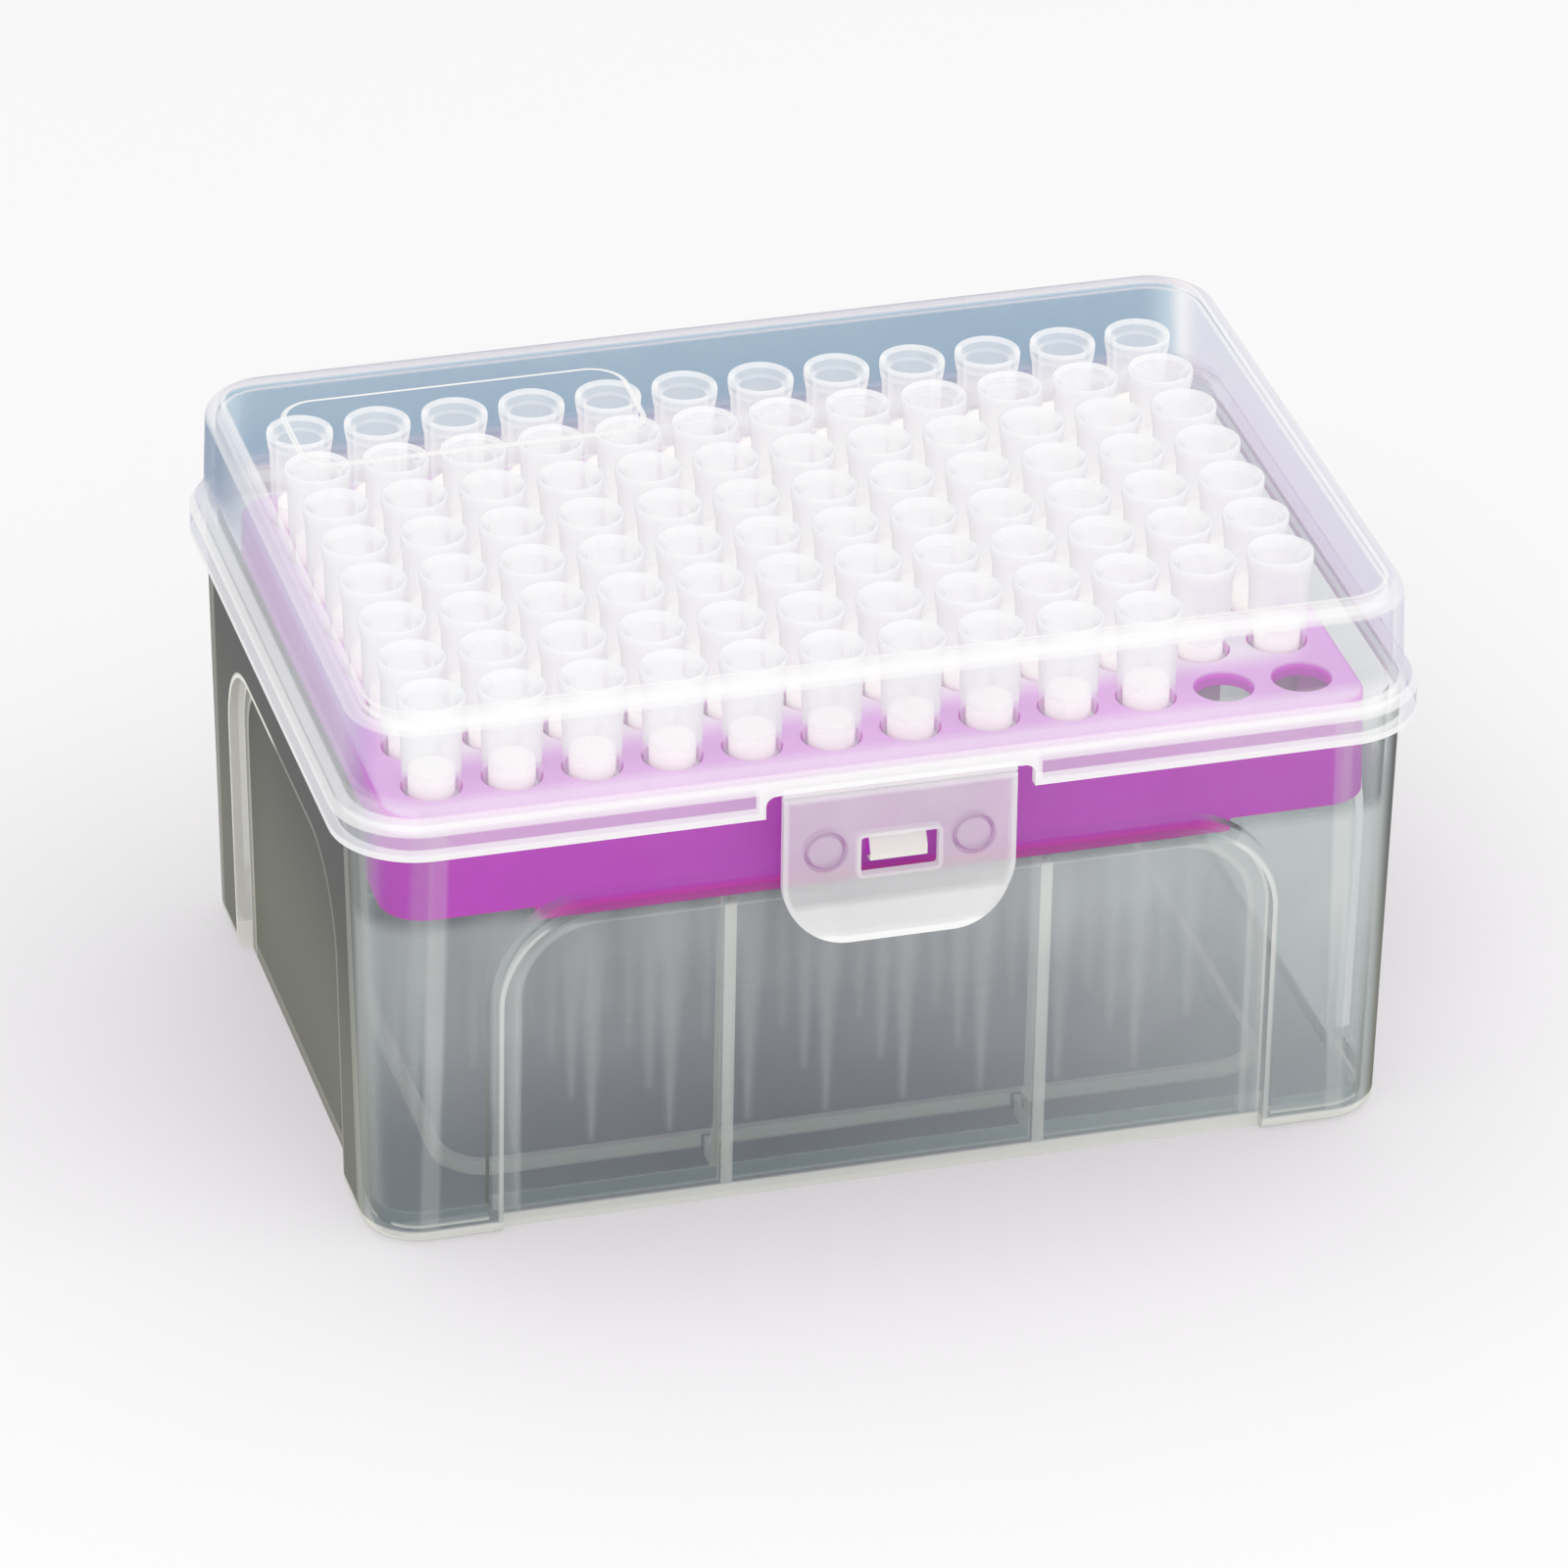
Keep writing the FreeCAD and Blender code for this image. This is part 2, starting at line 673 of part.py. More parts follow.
BORE_SLOPE = "((bore_radius - shank_radius + tip_wall) / (tip_top - mouth_depth - shank_height))"


def turned_row(name, profile, row):
    """Equal turned pieces along one row of the grid, row 1 at the back."""
    body = doc.addObject("PartDesign::Body", name)
    body.AllowCompound = True
    outline = polygon(sketch(body, "Profile", "XZ_Plane"), profile)
    turned = body.newObject("PartDesign::Revolution", "Turned")
    turned.Profile = outline
    turned.ReferenceAxis = (outline, ["V_Axis"])
    turned.Angle = 360
    line = body.newObject("PartDesign::LinearPattern", "Row")
    line.Originals = [turned]
    line.Direction = (outline, ["H_Axis"])
    line.Mode = "Spacing"
    missing = " - empty_places" if row == value("rows") else ""
    bind(line, Offset="pitch", Occurrences=f"columns{missing}")
    body.Tip = line
    first_x = value("-(columns - 1) / 2 * pitch")
    row_y = value(f"((rows + 1) / 2 - {row}) * pitch")
    body.Placement = FreeCAD.Placement(Vector(first_x, row_y, 0), FreeCAD.Rotation())
    return body


def tip_row(row):
    return turned_row(f"tip_row_{row}", [
        ("end_bore_radius", "tip_low"),
        ("end_radius", "tip_low"),
        ("taper_radius", "taper_height"),
        ("shank_radius", "shank_height"),
        ("seat_radius", "seat_height"),
        ("neck_radius", "tip_top - 2 * rim_height"),
        ("rim_radius", "tip_top - rim_height"),
        ("rim_radius", "tip_top"),
        ("mouth_radius", "tip_top"),
        ("bore_radius", "tip_top - mouth_depth"),
        ("shank_radius - tip_wall", "shank_height"),
        ("taper_radius - tip_wall", "taper_height"),
    ], row)


def filter_row(row):
    def bore_at(height):
        return f"shank_radius - tip_wall + ({height} - shank_height) * {BORE_SLOPE} - filter_gap"

    return turned_row(f"filter_row_{row}", [
        ("0", "filter_low"),
        (bore_at("filter_low"), "filter_low"),
        (bore_at("filter_top"), "filter_top"),
        ("0", "filter_top"),
    ], row)


bodies = [base_box(), tip_tray(), lid(), latch_tab()]
for row in range(1, int(value("rows")) + 1):
    bodies.append(tip_row(row))
    bodies.append(filter_row(row))
doc.recompute()

for item in doc.Objects:
    if "Invalid" in item.State or "Error" in item.State:
        raise RuntimeError(f"{item.Name} failed: {item.State}")
for body in bodies:
    if body.Shape.isNull() or not body.Shape.isValid():
        raise RuntimeError(f"{body.Label} has no valid shape")

os.makedirs("parts", exist_ok=True)
for body in bodies:
    body.Shape.exportStep(f"parts/{body.Label}.step")
    box = body.Shape.BoundBox
    print(f"{body.Label}: {len(body.Shape.Solids)} solids, {body.Shape.Volume:.1f} mm3, "
          f"z {box.ZMin:.2f} to {box.ZMax:.2f}")
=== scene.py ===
import math

import bpy
from mathutils import Matrix, Vector


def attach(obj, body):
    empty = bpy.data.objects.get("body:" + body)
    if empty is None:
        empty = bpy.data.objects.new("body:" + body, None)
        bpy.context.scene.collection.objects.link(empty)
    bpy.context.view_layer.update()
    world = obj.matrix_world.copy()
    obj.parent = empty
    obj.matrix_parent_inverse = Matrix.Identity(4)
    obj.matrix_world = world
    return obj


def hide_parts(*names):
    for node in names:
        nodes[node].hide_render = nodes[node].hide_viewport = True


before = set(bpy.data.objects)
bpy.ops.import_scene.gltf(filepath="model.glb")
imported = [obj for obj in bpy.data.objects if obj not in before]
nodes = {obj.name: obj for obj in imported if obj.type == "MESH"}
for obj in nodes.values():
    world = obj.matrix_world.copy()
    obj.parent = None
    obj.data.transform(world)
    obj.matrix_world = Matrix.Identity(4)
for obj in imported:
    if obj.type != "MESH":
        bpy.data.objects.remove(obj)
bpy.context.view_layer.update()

# A box of filter pipette tips. Metres, +Z up, the latch faces -Y. The finishes measure their
# patterns in millimetres from the object's origin, as the part's own sizes are.

MM = 0.001
PLASTIC_IOR = 1.49
scene = bpy.context.scene


# Node trees.

def add(tree, kind, settings=None, **inputs):
    """A node with its settings, and its inputs set or linked by name (underscores for spaces)."""
    node = tree.nodes.new(kind)
    for name, value in (settings or {}).items():
        setattr(node, name, value)
    for name, value in inputs.items():
        put(tree, value, node.inputs[name.replace("_", " ")])
    return node


def put(tree, value, socket):
    if isinstance(value, bpy.types.NodeSocket):
        tree.links.new(value, socket)
    else:
        socket.default_value = value


def maths(tree, operation, first, second=0.0, third=0.0, clamp=False):
    node = add(tree, "ShaderNodeMath", {"operation": operation, "use_clamp": clamp})
    for socket, value in zip(node.inputs, (first, second, third)):
        put(tree, value, socket)
    return node.outputs[0]


def mix_colour(tree, factor, first, second):
    node = add(tree, "ShaderNodeMix", {"data_type": "RGBA"})
    for index, value in ((0, factor), (6, first), (7, second)):
        put(tree, value, node.inputs[index])
    return node.outputs[2]


def mix_shader(tree, factor, first, second):
    node = add(tree, "ShaderNodeMixShader")
    for socket, value in zip(node.inputs, (factor, first, second)):
        put(tree, value, socket)
    return node.outputs[0]


def rise(tree, value, low, high):
    """0 below low, 1 above high and smooth between."""
    node = add(
        tree, "ShaderNodeMapRange", {"interpolation_type": "SMOOTHSTEP"},
        Value=value, From_Min=low, From_Max=high,
    )
    return node.outputs[0]


def opposite(tree, mask):
    return maths(tree, "SUBTRACT", 1.0, mask)


def fall(tree, value, low, high):
    """1 below low, 0 above high and smooth between."""
    return opposite(tree, rise(tree, value, low, high))


def graded(tree, mask, gain, start):
    """start where mask is 0, and gain more than that where mask is 1."""
    return maths(tree, "MULTIPLY_ADD", mask, gain, start)


def rising(tree, value, limits, gain, start):
    """start below the two limits of value, and gain more than that above them."""
    return graded(tree, rise(tree, value, *limits), gain, start)


def minus(tree, value, amount):
    return maths(tree, "SUBTRACT", value, amount)


def times(tree, *masks):
    result = masks[0]
    for mask in masks[1:]:
        result = maths(tree, "MULTIPLY", result, mask)
    return result


def most(tree, *masks):
    result = masks[0]
    for mask in masks[1:]:
        result = maths(tree, "MAXIMUM", result, mask)
    return result


def glancing(tree):
    """0 where a face is seen straight on and 1 where it is seen along its surface."""
    return add(tree, "ShaderNodeLayerWeight", Blend=0.5).outputs["Facing"]


def rgb(red, green, blue):
    return (red, green, blue, 1.0)


def grey(level):
    return rgb(level, level, level)


def new_group(name, inputs, outputs):
    """A shader node group with named sockets: its tree, its input node and its output node."""
    tree = bpy.data.node_groups.new(name, "ShaderNodeTree")
    for title, kind, default in inputs:
        socket = tree.interface.new_socket(name=title, in_out="INPUT", socket_type=kind)
        if default is not None:
            socket.default_value = default
    for title, kind in outputs:
        tree.interface.new_socket(name=title, in_out="OUTPUT", socket_type=kind)
    return tree, tree.nodes.new("NodeGroupInput").outputs, tree.nodes.new("NodeGroupOutput").inputs


NUMBER = "NodeSocketFloat"
PLACE = "NodeSocketVector"


def soft_band_group():
    """1 where a value lies between two limits, with soft ends."""
    tree, given, made = new_group(
        "soft_band",
        [("Value", NUMBER, 0), ("Low", NUMBER, 0), ("High", NUMBER, 1), ("Soft", NUMBER, 0.3)],
        [("Mask", NUMBER)],
    )
    before = minus(tree, given["Low"], given["Soft"])
    after = maths(tree, "ADD", given["High"], given["Soft"])
    start = rise(tree, given["Value"], before, given["Low"])
    end = fall(tree, given["Value"], given["High"], after)
    tree.links.new(times(tree, start, end), made["Mask"])
    return tree


def outline_group():
    """Distance from the outline of a rounded rectangle, below 0 inside it."""
    tree, given, made = new_group(
        "outline_distance",
        [
            ("Across", NUMBER, 0), ("Along", NUMBER, 0), ("Half Across", NUMBER, 10),
            ("Half Along", NUMBER, 10), ("Corner", NUMBER, 1),
        ],
        [("Distance", NUMBER)],
    )
    over = []
    for place, half in (("Across", "Half Across"), ("Along", "Half Along")):
        edge = minus(tree, given[half], given["Corner"])
        over.append(minus(tree, maths(tree, "ABSOLUTE", given[place]), edge))
    squares = [maths(tree, "POWER", maths(tree, "MAXIMUM", side, 0.0), 2.0) for side in over]
    outside = maths(tree, "SQRT", maths(tree, "ADD", squares[0], squares[1]))
    inside = maths(tree, "MINIMUM", maths(tree, "MAXIMUM", over[0], over[1]), 0.0)
    reach = maths(tree, "ADD", outside, inside)
    tree.links.new(minus(tree, reach, given["Corner"]), made["Distance"])
    return tree


def grain_group():
    """Fine grain and slow cloudiness of moulded plastic."""
    tree, given, made = new_group(
        "moulded_grain",
        [("Place", PLACE, None), ("Grain", NUMBER, 0.4), ("Cloud", NUMBER, 14)],
        [("Height", NUMBER), ("Cloudiness", NUMBER)],
    )
    for size, detail, name in (("Grain", 1.0, "Height"), ("Cloud", 2.0, "Cloudiness")):
        scale = maths(tree, "DIVIDE", 1.0, given[size])
        noise = add(tree, "ShaderNodeTexNoise", Vector=given["Place"], Scale=scale, Detail=detail)
        tree.links.new(noise.outputs["Fac"], made[name])
    return tree


# How far out, in millimetres, the plane of an upright face has to lie to count as an outer one.
OUTWARDS = (5.0, 20.0)


def outer_face_group():
    """Outer is 1 on the outer faces of upright walls, and Seen is 1 where they face the eye."""
    tree, given, made = new_group(
        "outer_face", [("Place", PLACE, None), ("Normal", PLACE, None), ("Turned Away", NUMBER, 0)],
        [("Outer", NUMBER), ("Seen", NUMBER)],
    )
    level = add(tree, "ShaderNodeVectorMath", {"operation": "MULTIPLY"})
    tree.links.new(given["Place"], level.inputs[0])
    level.inputs[1].default_value = (1, 1, 0)
    facing = add(tree, "ShaderNodeVectorMath", {"operation": "DOT_PRODUCT"})
    tree.links.new(level.outputs[0], facing.inputs[0])
    tree.links.new(given["Normal"], facing.inputs[1])
    facing = facing.outputs["Value"]
    turned = graded(tree, given["Turned Away"], -2.0, 1.0)
    tree.links.new(rise(tree, times(tree, facing, turned), *OUTWARDS), made["Outer"])
    tree.links.new(rise(tree, facing, *OUTWARDS), made["Seen"])
    return tree


SOFT_BAND = soft_band_group()
OUTER_FACE = outer_face_group()
OUTLINE = outline_group()
GRAIN = grain_group()


def band(tree, value, low, high, soft):
    """1 between low and high, with soft ends outside them."""
    return add(
        tree, "ShaderNodeGroup", {"node_tree": SOFT_BAND}, Value=value, Low=low, High=high,
        Soft=soft,
    ).outputs[0]


def strongest(tree, value, bands):
    """The strongest of several soft bands of one value, each with its strength at its end."""
    return most(tree, *(
        times(tree, band(tree, value, *limits), strength) for *limits, strength in bands
    ))


def outline(tree, across, along, half_across, half_along, corner):
    """Distance from a rounded rectangle round the origin, below 0 inside it."""
    return add(
        tree, "ShaderNodeGroup", {"node_tree": OUTLINE}, Across=across, Along=along,
        Half_Across=half_across, Half_Along=half_along, Corner=corner,
    ).outputs[0]


class Finish:
    """A material being built: its tree, and places on the piece in millimetres."""

    def __init__(self, name):
        self.material = bpy.data.materials.new(name)
        self.material.use_nodes = True
        self.tree = self.material.node_tree
        self.tree.nodes.clear()
        place = add(self.tree, "ShaderNodeTexCoord").outputs["Object"]
        scaled = add(self.tree, "ShaderNodeVectorMath", {"operation": "SCALE"}, Scale=1 / MM)
        self.tree.links.new(place, scaled.inputs[0])
        self.place = scaled.outputs[0]
        split = add(self.tree, "ShaderNodeSeparateXYZ", Vector=self.place)
        self.x, self.y, self.z = split.outputs
        self.side_x = maths(self.tree, "ABSOLUTE", self.x)
        self.side_y = maths(self.tree, "ABSOLUTE", self.y)

    def grain(self, cloud, fine=0.4):
        """Height of grains of the size fine, and cloudiness in clouds of the size cloud."""
        node = add(
            self.tree, "ShaderNodeGroup", {"node_tree": GRAIN}, Place=self.place,
            Grain=fine, Cloud=cloud,
        )
        return node.outputs["Height"], node.outputs["Cloudiness"]

    def outer_face(self):
        look = add(self.tree, "ShaderNodeNewGeometry").outputs
        node = add(
            self.tree, "ShaderNodeGroup", {"node_tree": OUTER_FACE}, Place=self.place,
            Normal=look["Normal"], Turned_Away=look["Backfacing"],
        )
        return node.outputs["Outer"], node.outputs["Seen"]

    def bump(self, height, strength):
        node = add(self.tree, "ShaderNodeBump", Strength=strength, Distance=0.1 * MM, Height=height)
        return node.outputs[0]

    def finish(self, shader):
        output = add(self.tree, "ShaderNodeOutputMaterial")
        self.tree.links.new(shader, output.inputs["Surface"])
        return self.material


# Where a look counts as a glancing one, and how much smoother the polish is than the skin.
STEEP = (0.30, 0.85)
POLISH = 0.6


def see_through(
    finish, body, painted_glance_shade, painted_highlight, share, glance_share, white_share, tint, mask,
    roughness, gloss, lamp_tint, room_tint=None, cloud=1.0, normal=None, outside=1.0,
    one_sided=False,
):
    """Thin translucent plastic.

    share is how much of a face hides what is behind it, glance_share how much more it hides at a
    glancing angle, and white_share where mask marks painted highlights. cloud scales the first
    two. painted_glance_shade is the painted shade that a face takes at a glancing look, and
    whitened the colour of the painted highlights. tint is what a face takes from the light that
    goes through it to the eye, lamp_tint from the light of a lamp, and room_tint from the light
    that other surfaces scatter. outside is 1 on faces where a glancing look counts. one_sided
    leaves the faces that look away clear.
    """
    tree = finish.tree
    steep = times(tree, rise(tree, glancing(tree), *STEEP), outside)
    colour = mix_colour(tree, mask, mix_colour(tree, steep, body, painted_glance_shade), painted_highlight)
    hide = times(tree, graded(tree, steep, glance_share, share), cloud)
    hide = maths(tree, "MULTIPLY_ADD", mask, white_share, hide, clamp=True)
    front = opposite(tree, add(tree, "ShaderNodeNewGeometry").outputs["Backfacing"])
    if one_sided:
        hide = times(tree, hide, front)
    relief = {} if normal is None else {"Normal": normal}
    skin = add(
        tree, "ShaderNodeBsdfPrincipled", Base_Color=colour, Roughness=roughness,
        Specular_IOR_Level=0.0, **relief,
    )
    clear = add(tree, "ShaderNodeBsdfTransparent", Color=tint)
    shell = mix_shader(tree, hide, clear.outputs[0], skin.outputs[0])
    fresnel = add(tree, "ShaderNodeFresnel", IOR=PLASTIC_IOR).outputs[0]
    polish = add(
        tree, "ShaderNodeBsdfGlossy", Color=grey(1.0), Roughness=roughness * POLISH, **relief,
    )
    shell = mix_shader(tree, times(tree, fresnel, front, gloss), shell, polish.outputs[0])
    path = add(tree, "ShaderNodeLightPath").outputs
    if room_tint is not None:
        room_light = add(tree, "ShaderNodeBsdfTransparent", Color=room_tint)
        shell = mix_shader(tree, path["Is Diffuse Ray"], shell, room_light.outputs[0])
    lamp_light = add(tree, "ShaderNodeBsdfTransparent", Color=lamp_tint)
    return finish.finish(mix_shader(tree, path["Is Shadow Ray"], shell, lamp_light.outputs[0]))


# Sizes that the finishes follow, in millimetres. A pair is where something begins and ends. A
# third number is how soft a band's ends are, and a fourth how strong the band is. An outline is
# two half sizes and a corner. A grade is a gain and a start, and limits in brackets of their own
# are followed by the gain over them and, where it is a number too, the start.

# Base box.

PANEL_TOP = 40.4
PANEL_CORNER = 11.0
# A panel's middle lies below the feet, so only its top and sides show.
PANEL_MIDDLE = -5.0
LONG_PANEL_HALF = 43.9
LONG_WALL = (37.3, 38.3)
END_PANEL_HALF = 26.7
END_WALL = (55.0, 56.0)
ARCH_LINES = ((-0.2, 0.35, 0.4, 1.0), (-2.2, -1.8, 0.4, 0.5), (-2.2, 0.3, 0.3, 0.3))
PANEL_STEP = (-3.0, 1.0, 0.3)
DOUBLE_WALL = (-1.1, 0.0, 0.3)
RIB_PLACE = 18.0
RIB_WIDTH = (-1.0, 0.6, 0.15)
RIB_HEIGHT = (1.0, 38.2, 0.5)
RIB_FACE = (31.5, 32.5)
FOOT_HALF = (57.0, 38.0)
FOOT_EDGE = (-0.2, 0.2)
FOOT_HEIGHT = (-1.0, 1.6, 0.5)
BASE_OUTLINE = (58.6, 40.9, 6.5)
BASE_WALL = (-6.0, -5.0)
TURN_FACE = (-0.6, 2.5, 0.3)
TURN_PLACE = (92.5, 93.8, 0.7)
CATCH_WIDTH = (-1.0, 3.2, 0.1)
CATCH_HEIGHT = (43.0, 46.2, 0.1)
CATCH_FACE = (-42.1, -41.9)
PLINTH_OUTLINE = (48.0, 30.3, 6.0)
PLINTH_EDGE = (-0.8, 0.2, 0.3)
PLINTH_HEIGHT = (0.5, 3.2, 0.2)
ARCH_WHITE = 0.42
PLINTH_WHITE = 0.32
RIB_WHITE = 0.4
FOOT_WHITE = 0.75
TURN_WHITE = 0.2
UNDER_PLATE_EDGE = (38.2, 39.8)
END_ARCH_TO_BACK = ((0.0, 5.0), 0.75, 0.2)

# How much the base's wall hides: limits where it changes, what it gains there and its start.
FROSTING = 0.24
FROST_CLOUD_GRADE = (0.8, 0.6)
BOTTOM_SHARE = 0.75
BOTTOM_HEIGHT = (3.3, 3.8)
BASE_GLOSS = 0.2
FROST_UPWARDS = ((4.0, 36.0), 1.3, 0.40)
FROST_BESIDE = ((5.0, 35.0), 0.25)
# More of the lit wall shows to the right: painted light from the right.
PAINTED_RIGHT_LIGHT_GRADE = ((-10.0, 55.0), 0.4, 0.9)
BY_PLATE = ((37.5, 40.5), -0.8, 1.0)
PLATE_CORNER = ((38.5, 40.5), -2.0)
PLATE_EDGE = (38.4, 42.2, 0.4)
PLATE_EDGE_END = (34.0, 38.0)
PLATE_EDGE_GRADE = (-0.6, 1.0)
DOUBLE_HEIGHT = (34.0, 38.0)
DOUBLE_END = (31.0, 35.0)
DOUBLE_GRADE = (-0.9, 1.0)

# What the base takes from the light behind it, and its colours by height and from the left; the
# bottom's lightening to the right is painted light from that side.
TINT_HEIGHT = (2.0, 34.0)
TINT_LOW = rgb(0.79, 0.83, 0.83)
TINT_HIGH = rgb(0.82, 0.86, 0.85)
RIGHT_END = (54.0, 57.0)
RIGHT_END_TOP = (33.0, 40.0)
RIGHT_END_TINT = rgb(0.66, 0.74, 0.76)
BOTTOM_ACROSS = (-20.0, 50.0)
BOTTOM_LEFT = rgb(0.22, 0.26, 0.28)
BOTTOM_RIGHT = rgb(0.38, 0.43, 0.44)
# A glancing look takes these colours: painted shade, darker higher up.
GLANCE_HEIGHT = (10.0, 45.0)
GLANCE_LOW = rgb(0.17, 0.175, 0.14)
GLANCE_HIGH = rgb(0.08, 0.085, 0.08)
BASE_BODY = rgb(0.60, 0.64, 0.64)
BASE_WHITE = rgb(0.88, 0.87, 0.80)


def panel(finish, across, half, away, wall):
    """The distance from the outline of a wall's panel, and 1 on that wall's own face."""
    tree = finish.tree
    up = minus(tree, finish.z, PANEL_MIDDLE)
    distance = outline(tree, across, up, half, PANEL_TOP - PANEL_MIDDLE, PANEL_CORNER)
    return distance, rise(tree, away, *wall)


def base_painted_highlights(finish, long_panel, rim):
    """How white the base's edges are, as painted highlights: arches, ribs, feet, turns of the rim,
    catch and plinth. At the feet it is painted light that the wall pipes down to them.
    """
    tree, x, y, z = finish.tree, finish.x, finish.y, finish.z
    side_x, side_y = finish.side_x, finish.side_y
    end_panel = panel(finish, y, END_PANEL_HALF, side_x, END_WALL)
    long_arch, end_arch = (
        times(tree, strongest(tree, edge, ARCH_LINES), face)
        for edge, face in (long_panel, end_panel)
    )
    from_rib = maths(tree, "ABSOLUTE", minus(tree, side_x, RIB_PLACE))
    ribs = times(
        tree, band(tree, from_rib, *RIB_WIDTH), band(tree, z, *RIB_HEIGHT),
        rise(tree, side_y, *RIB_FACE),
    )
    past_foot = most(tree, minus(tree, side_x, FOOT_HALF[0]), minus(tree, side_y, FOOT_HALF[1]))
    feet = times(tree, band(tree, z, *FOOT_HEIGHT), rise(tree, past_foot, *FOOT_EDGE))
    both_sides = maths(tree, "ADD", side_x, side_y)
    turns = times(tree, band(tree, rim, *TURN_FACE), band(tree, both_sides, *TURN_PLACE))
    catch = times(
        tree, band(tree, side_x, *CATCH_WIDTH), band(tree, z, *CATCH_HEIGHT),
        fall(tree, y, *CATCH_FACE),
    )
    from_plinth = outline(tree, x, y, *PLINTH_OUTLINE)
    plinth = times(tree, band(tree, from_plinth, *PLINTH_EDGE), band(tree, z, *PLINTH_HEIGHT))
    return most(
        tree, times(tree, long_arch, fall(tree, z, *UNDER_PLATE_EDGE), ARCH_WHITE),
        times(tree, end_arch, rising(tree, y, *END_ARCH_TO_BACK)),
        times(tree, plinth, PLINTH_WHITE), times(tree, ribs, RIB_WHITE),
        times(tree, feet, FOOT_WHITE), times(tree, turns, TURN_WHITE), catch,
    )


def base_share(finish, long_panel, outer, bottom):
    """How much of what is behind them the base's outer faces and its bottom hide."""
    tree, x, z, side_x = finish.tree, finish.x, finish.z, finish.side_x
    # The plate touches the wall, so the frosting hides less of it, least of all at its edge.
    above_edge = rising(tree, side_x, *PLATE_CORNER, z)
    by_plate = rising(tree, above_edge, *BY_PLATE)
    plate_edge = times(tree, band(tree, z, *PLATE_EDGE), fall(tree, side_x, *PLATE_EDGE_END))
    ledge = graded(tree, plate_edge, *PLATE_EDGE_GRADE)
    frost = graded(tree, finish.grain(cloud=18)[1], *FROST_CLOUD_GRADE)
    upwards = rising(tree, x, *FROST_BESIDE, rising(tree, z, *FROST_UPWARDS))
    # The wall shows more of its lit skin to the right: painted light from the right.
    painted_right_light = rising(tree, x, *PAINTED_RIGHT_LIGHT_GRADE)
    # Behind the edge of a panel the eye meets the wall twice.
    edge, face = long_panel
    double = times(
        tree, band(tree, edge, *DOUBLE_WALL), face, rise(tree, z, *DOUBLE_HEIGHT),
        fall(tree, x, *DOUBLE_END),
    )
    once = graded(tree, double, *DOUBLE_GRADE)
    share = times(tree, frost, upwards, outer, by_plate, ledge, once, painted_right_light, FROSTING)
    return graded(tree, bottom, BOTTOM_SHARE, share)


def base_finish():
    finish = Finish("frosted_base")
    tree, x, z = finish.tree, finish.x, finish.z
    rim = outline(tree, x, finish.y, *BASE_OUTLINE)
    long_panel = panel(finish, x, LONG_PANEL_HALF, finish.side_y, LONG_WALL)
    by_wall = rise(tree, rim, *BASE_WALL)
    outer, seen = finish.outer_face()
    outer = times(tree, outer, by_wall)
    bottom = times(tree, fall(tree, z, *BOTTOM_HEIGHT), opposite(tree, outer))
    tint = mix_colour(tree, rise(tree, z, *TINT_HEIGHT), TINT_LOW, TINT_HIGH)
    right_end = times(tree, rise(tree, x, *RIGHT_END), fall(tree, z, *RIGHT_END_TOP))
    tint = mix_colour(tree, right_end, tint, RIGHT_END_TINT)
    tint = mix_colour(tree, outer, grey(1.0), tint)
    # The bottom's grey lightens to the right: painted light from the right.
    bottom_colour_with_painted_light = mix_colour(tree, rise(tree, x, *BOTTOM_ACROSS), BOTTOM_LEFT, BOTTOM_RIGHT)
    body = mix_colour(tree, bottom, BASE_BODY, bottom_colour_with_painted_light)
    painted_glance_shade = mix_colour(tree, rise(tree, z, *GLANCE_HEIGHT), GLANCE_LOW, GLANCE_HIGH)
    edge, face = long_panel
    flat = opposite(tree, times(tree, band(tree, edge, *PANEL_STEP), face))
    return see_through(
        finish, body=body, painted_glance_shade=painted_glance_shade, painted_highlight=BASE_WHITE,
        share=base_share(finish, long_panel, outer, bottom), glance_share=1.1, white_share=0.75,
        tint=tint, mask=base_painted_highlights(finish, long_panel, rim),
        outside=times(tree, seen, by_wall, flat), roughness=0.35,
        gloss=times(tree, outer, BASE_GLOSS), lamp_tint=grey(0.97), room_tint=grey(0.84),
    )


# Lid. The wall leans in by its draft, so its outline is measured at the top's own size.

LID_OUTLINE = (59.6, 41.7, 7.6)
LID_FRONT = (-40.0, -36.0)
LID_BACK = (36.0, 40.0)
TOP_EDGE_HEIGHT = (65.2, 70.0, 0.5)
TOP_EDGE_CURVE = (-2.6, -1.2)
TOP_EDGE_LINE = (-2.1, -1.8, 0.25)
TOP_EDGE_OUTSIDE = (-1.7, -1.0)
STEP_BAND = (53.7, 54.6, 0.4, 0.8)
LEDGE_BAND = (55.2, 56.2, 0.8, 0.22)
SKIRT_BAND = (50.0, 55.0, 0.5, 0.12)
RIM_BAND = (49.0, 51.2, 0.25, 0.8)
CUTOUT_HALF = 15.2
CUTOUT_FACE = (-41.5, -41.0)
CUTOUT_TOP = (53.8, 54.0)
CUTOUT_SIDE = (-0.5, 0.7, 0.2)
CUTOUT_SPAN = (-20.0, 0.2, 0.2)
CUTOUT_EDGE = (52.6, 53.7, 0.2)
LABEL_X = -32.0
LABEL_Y = 25.05
LABEL_OUTLINE = (19.8, 7.85, 4.0)
LABEL_LINE = (-1.0, 0.3, 0.1)
LABEL_HEIGHT = (66.7, 66.82)
FRONT_CURVE_WHITE = 0.6
BACK_LINE_GRADE = (-0.7, 0.75)
BACK_OUTSIDE_GRADE = (0.5, 0.5)
CUTOUT_WHITE = 0.8

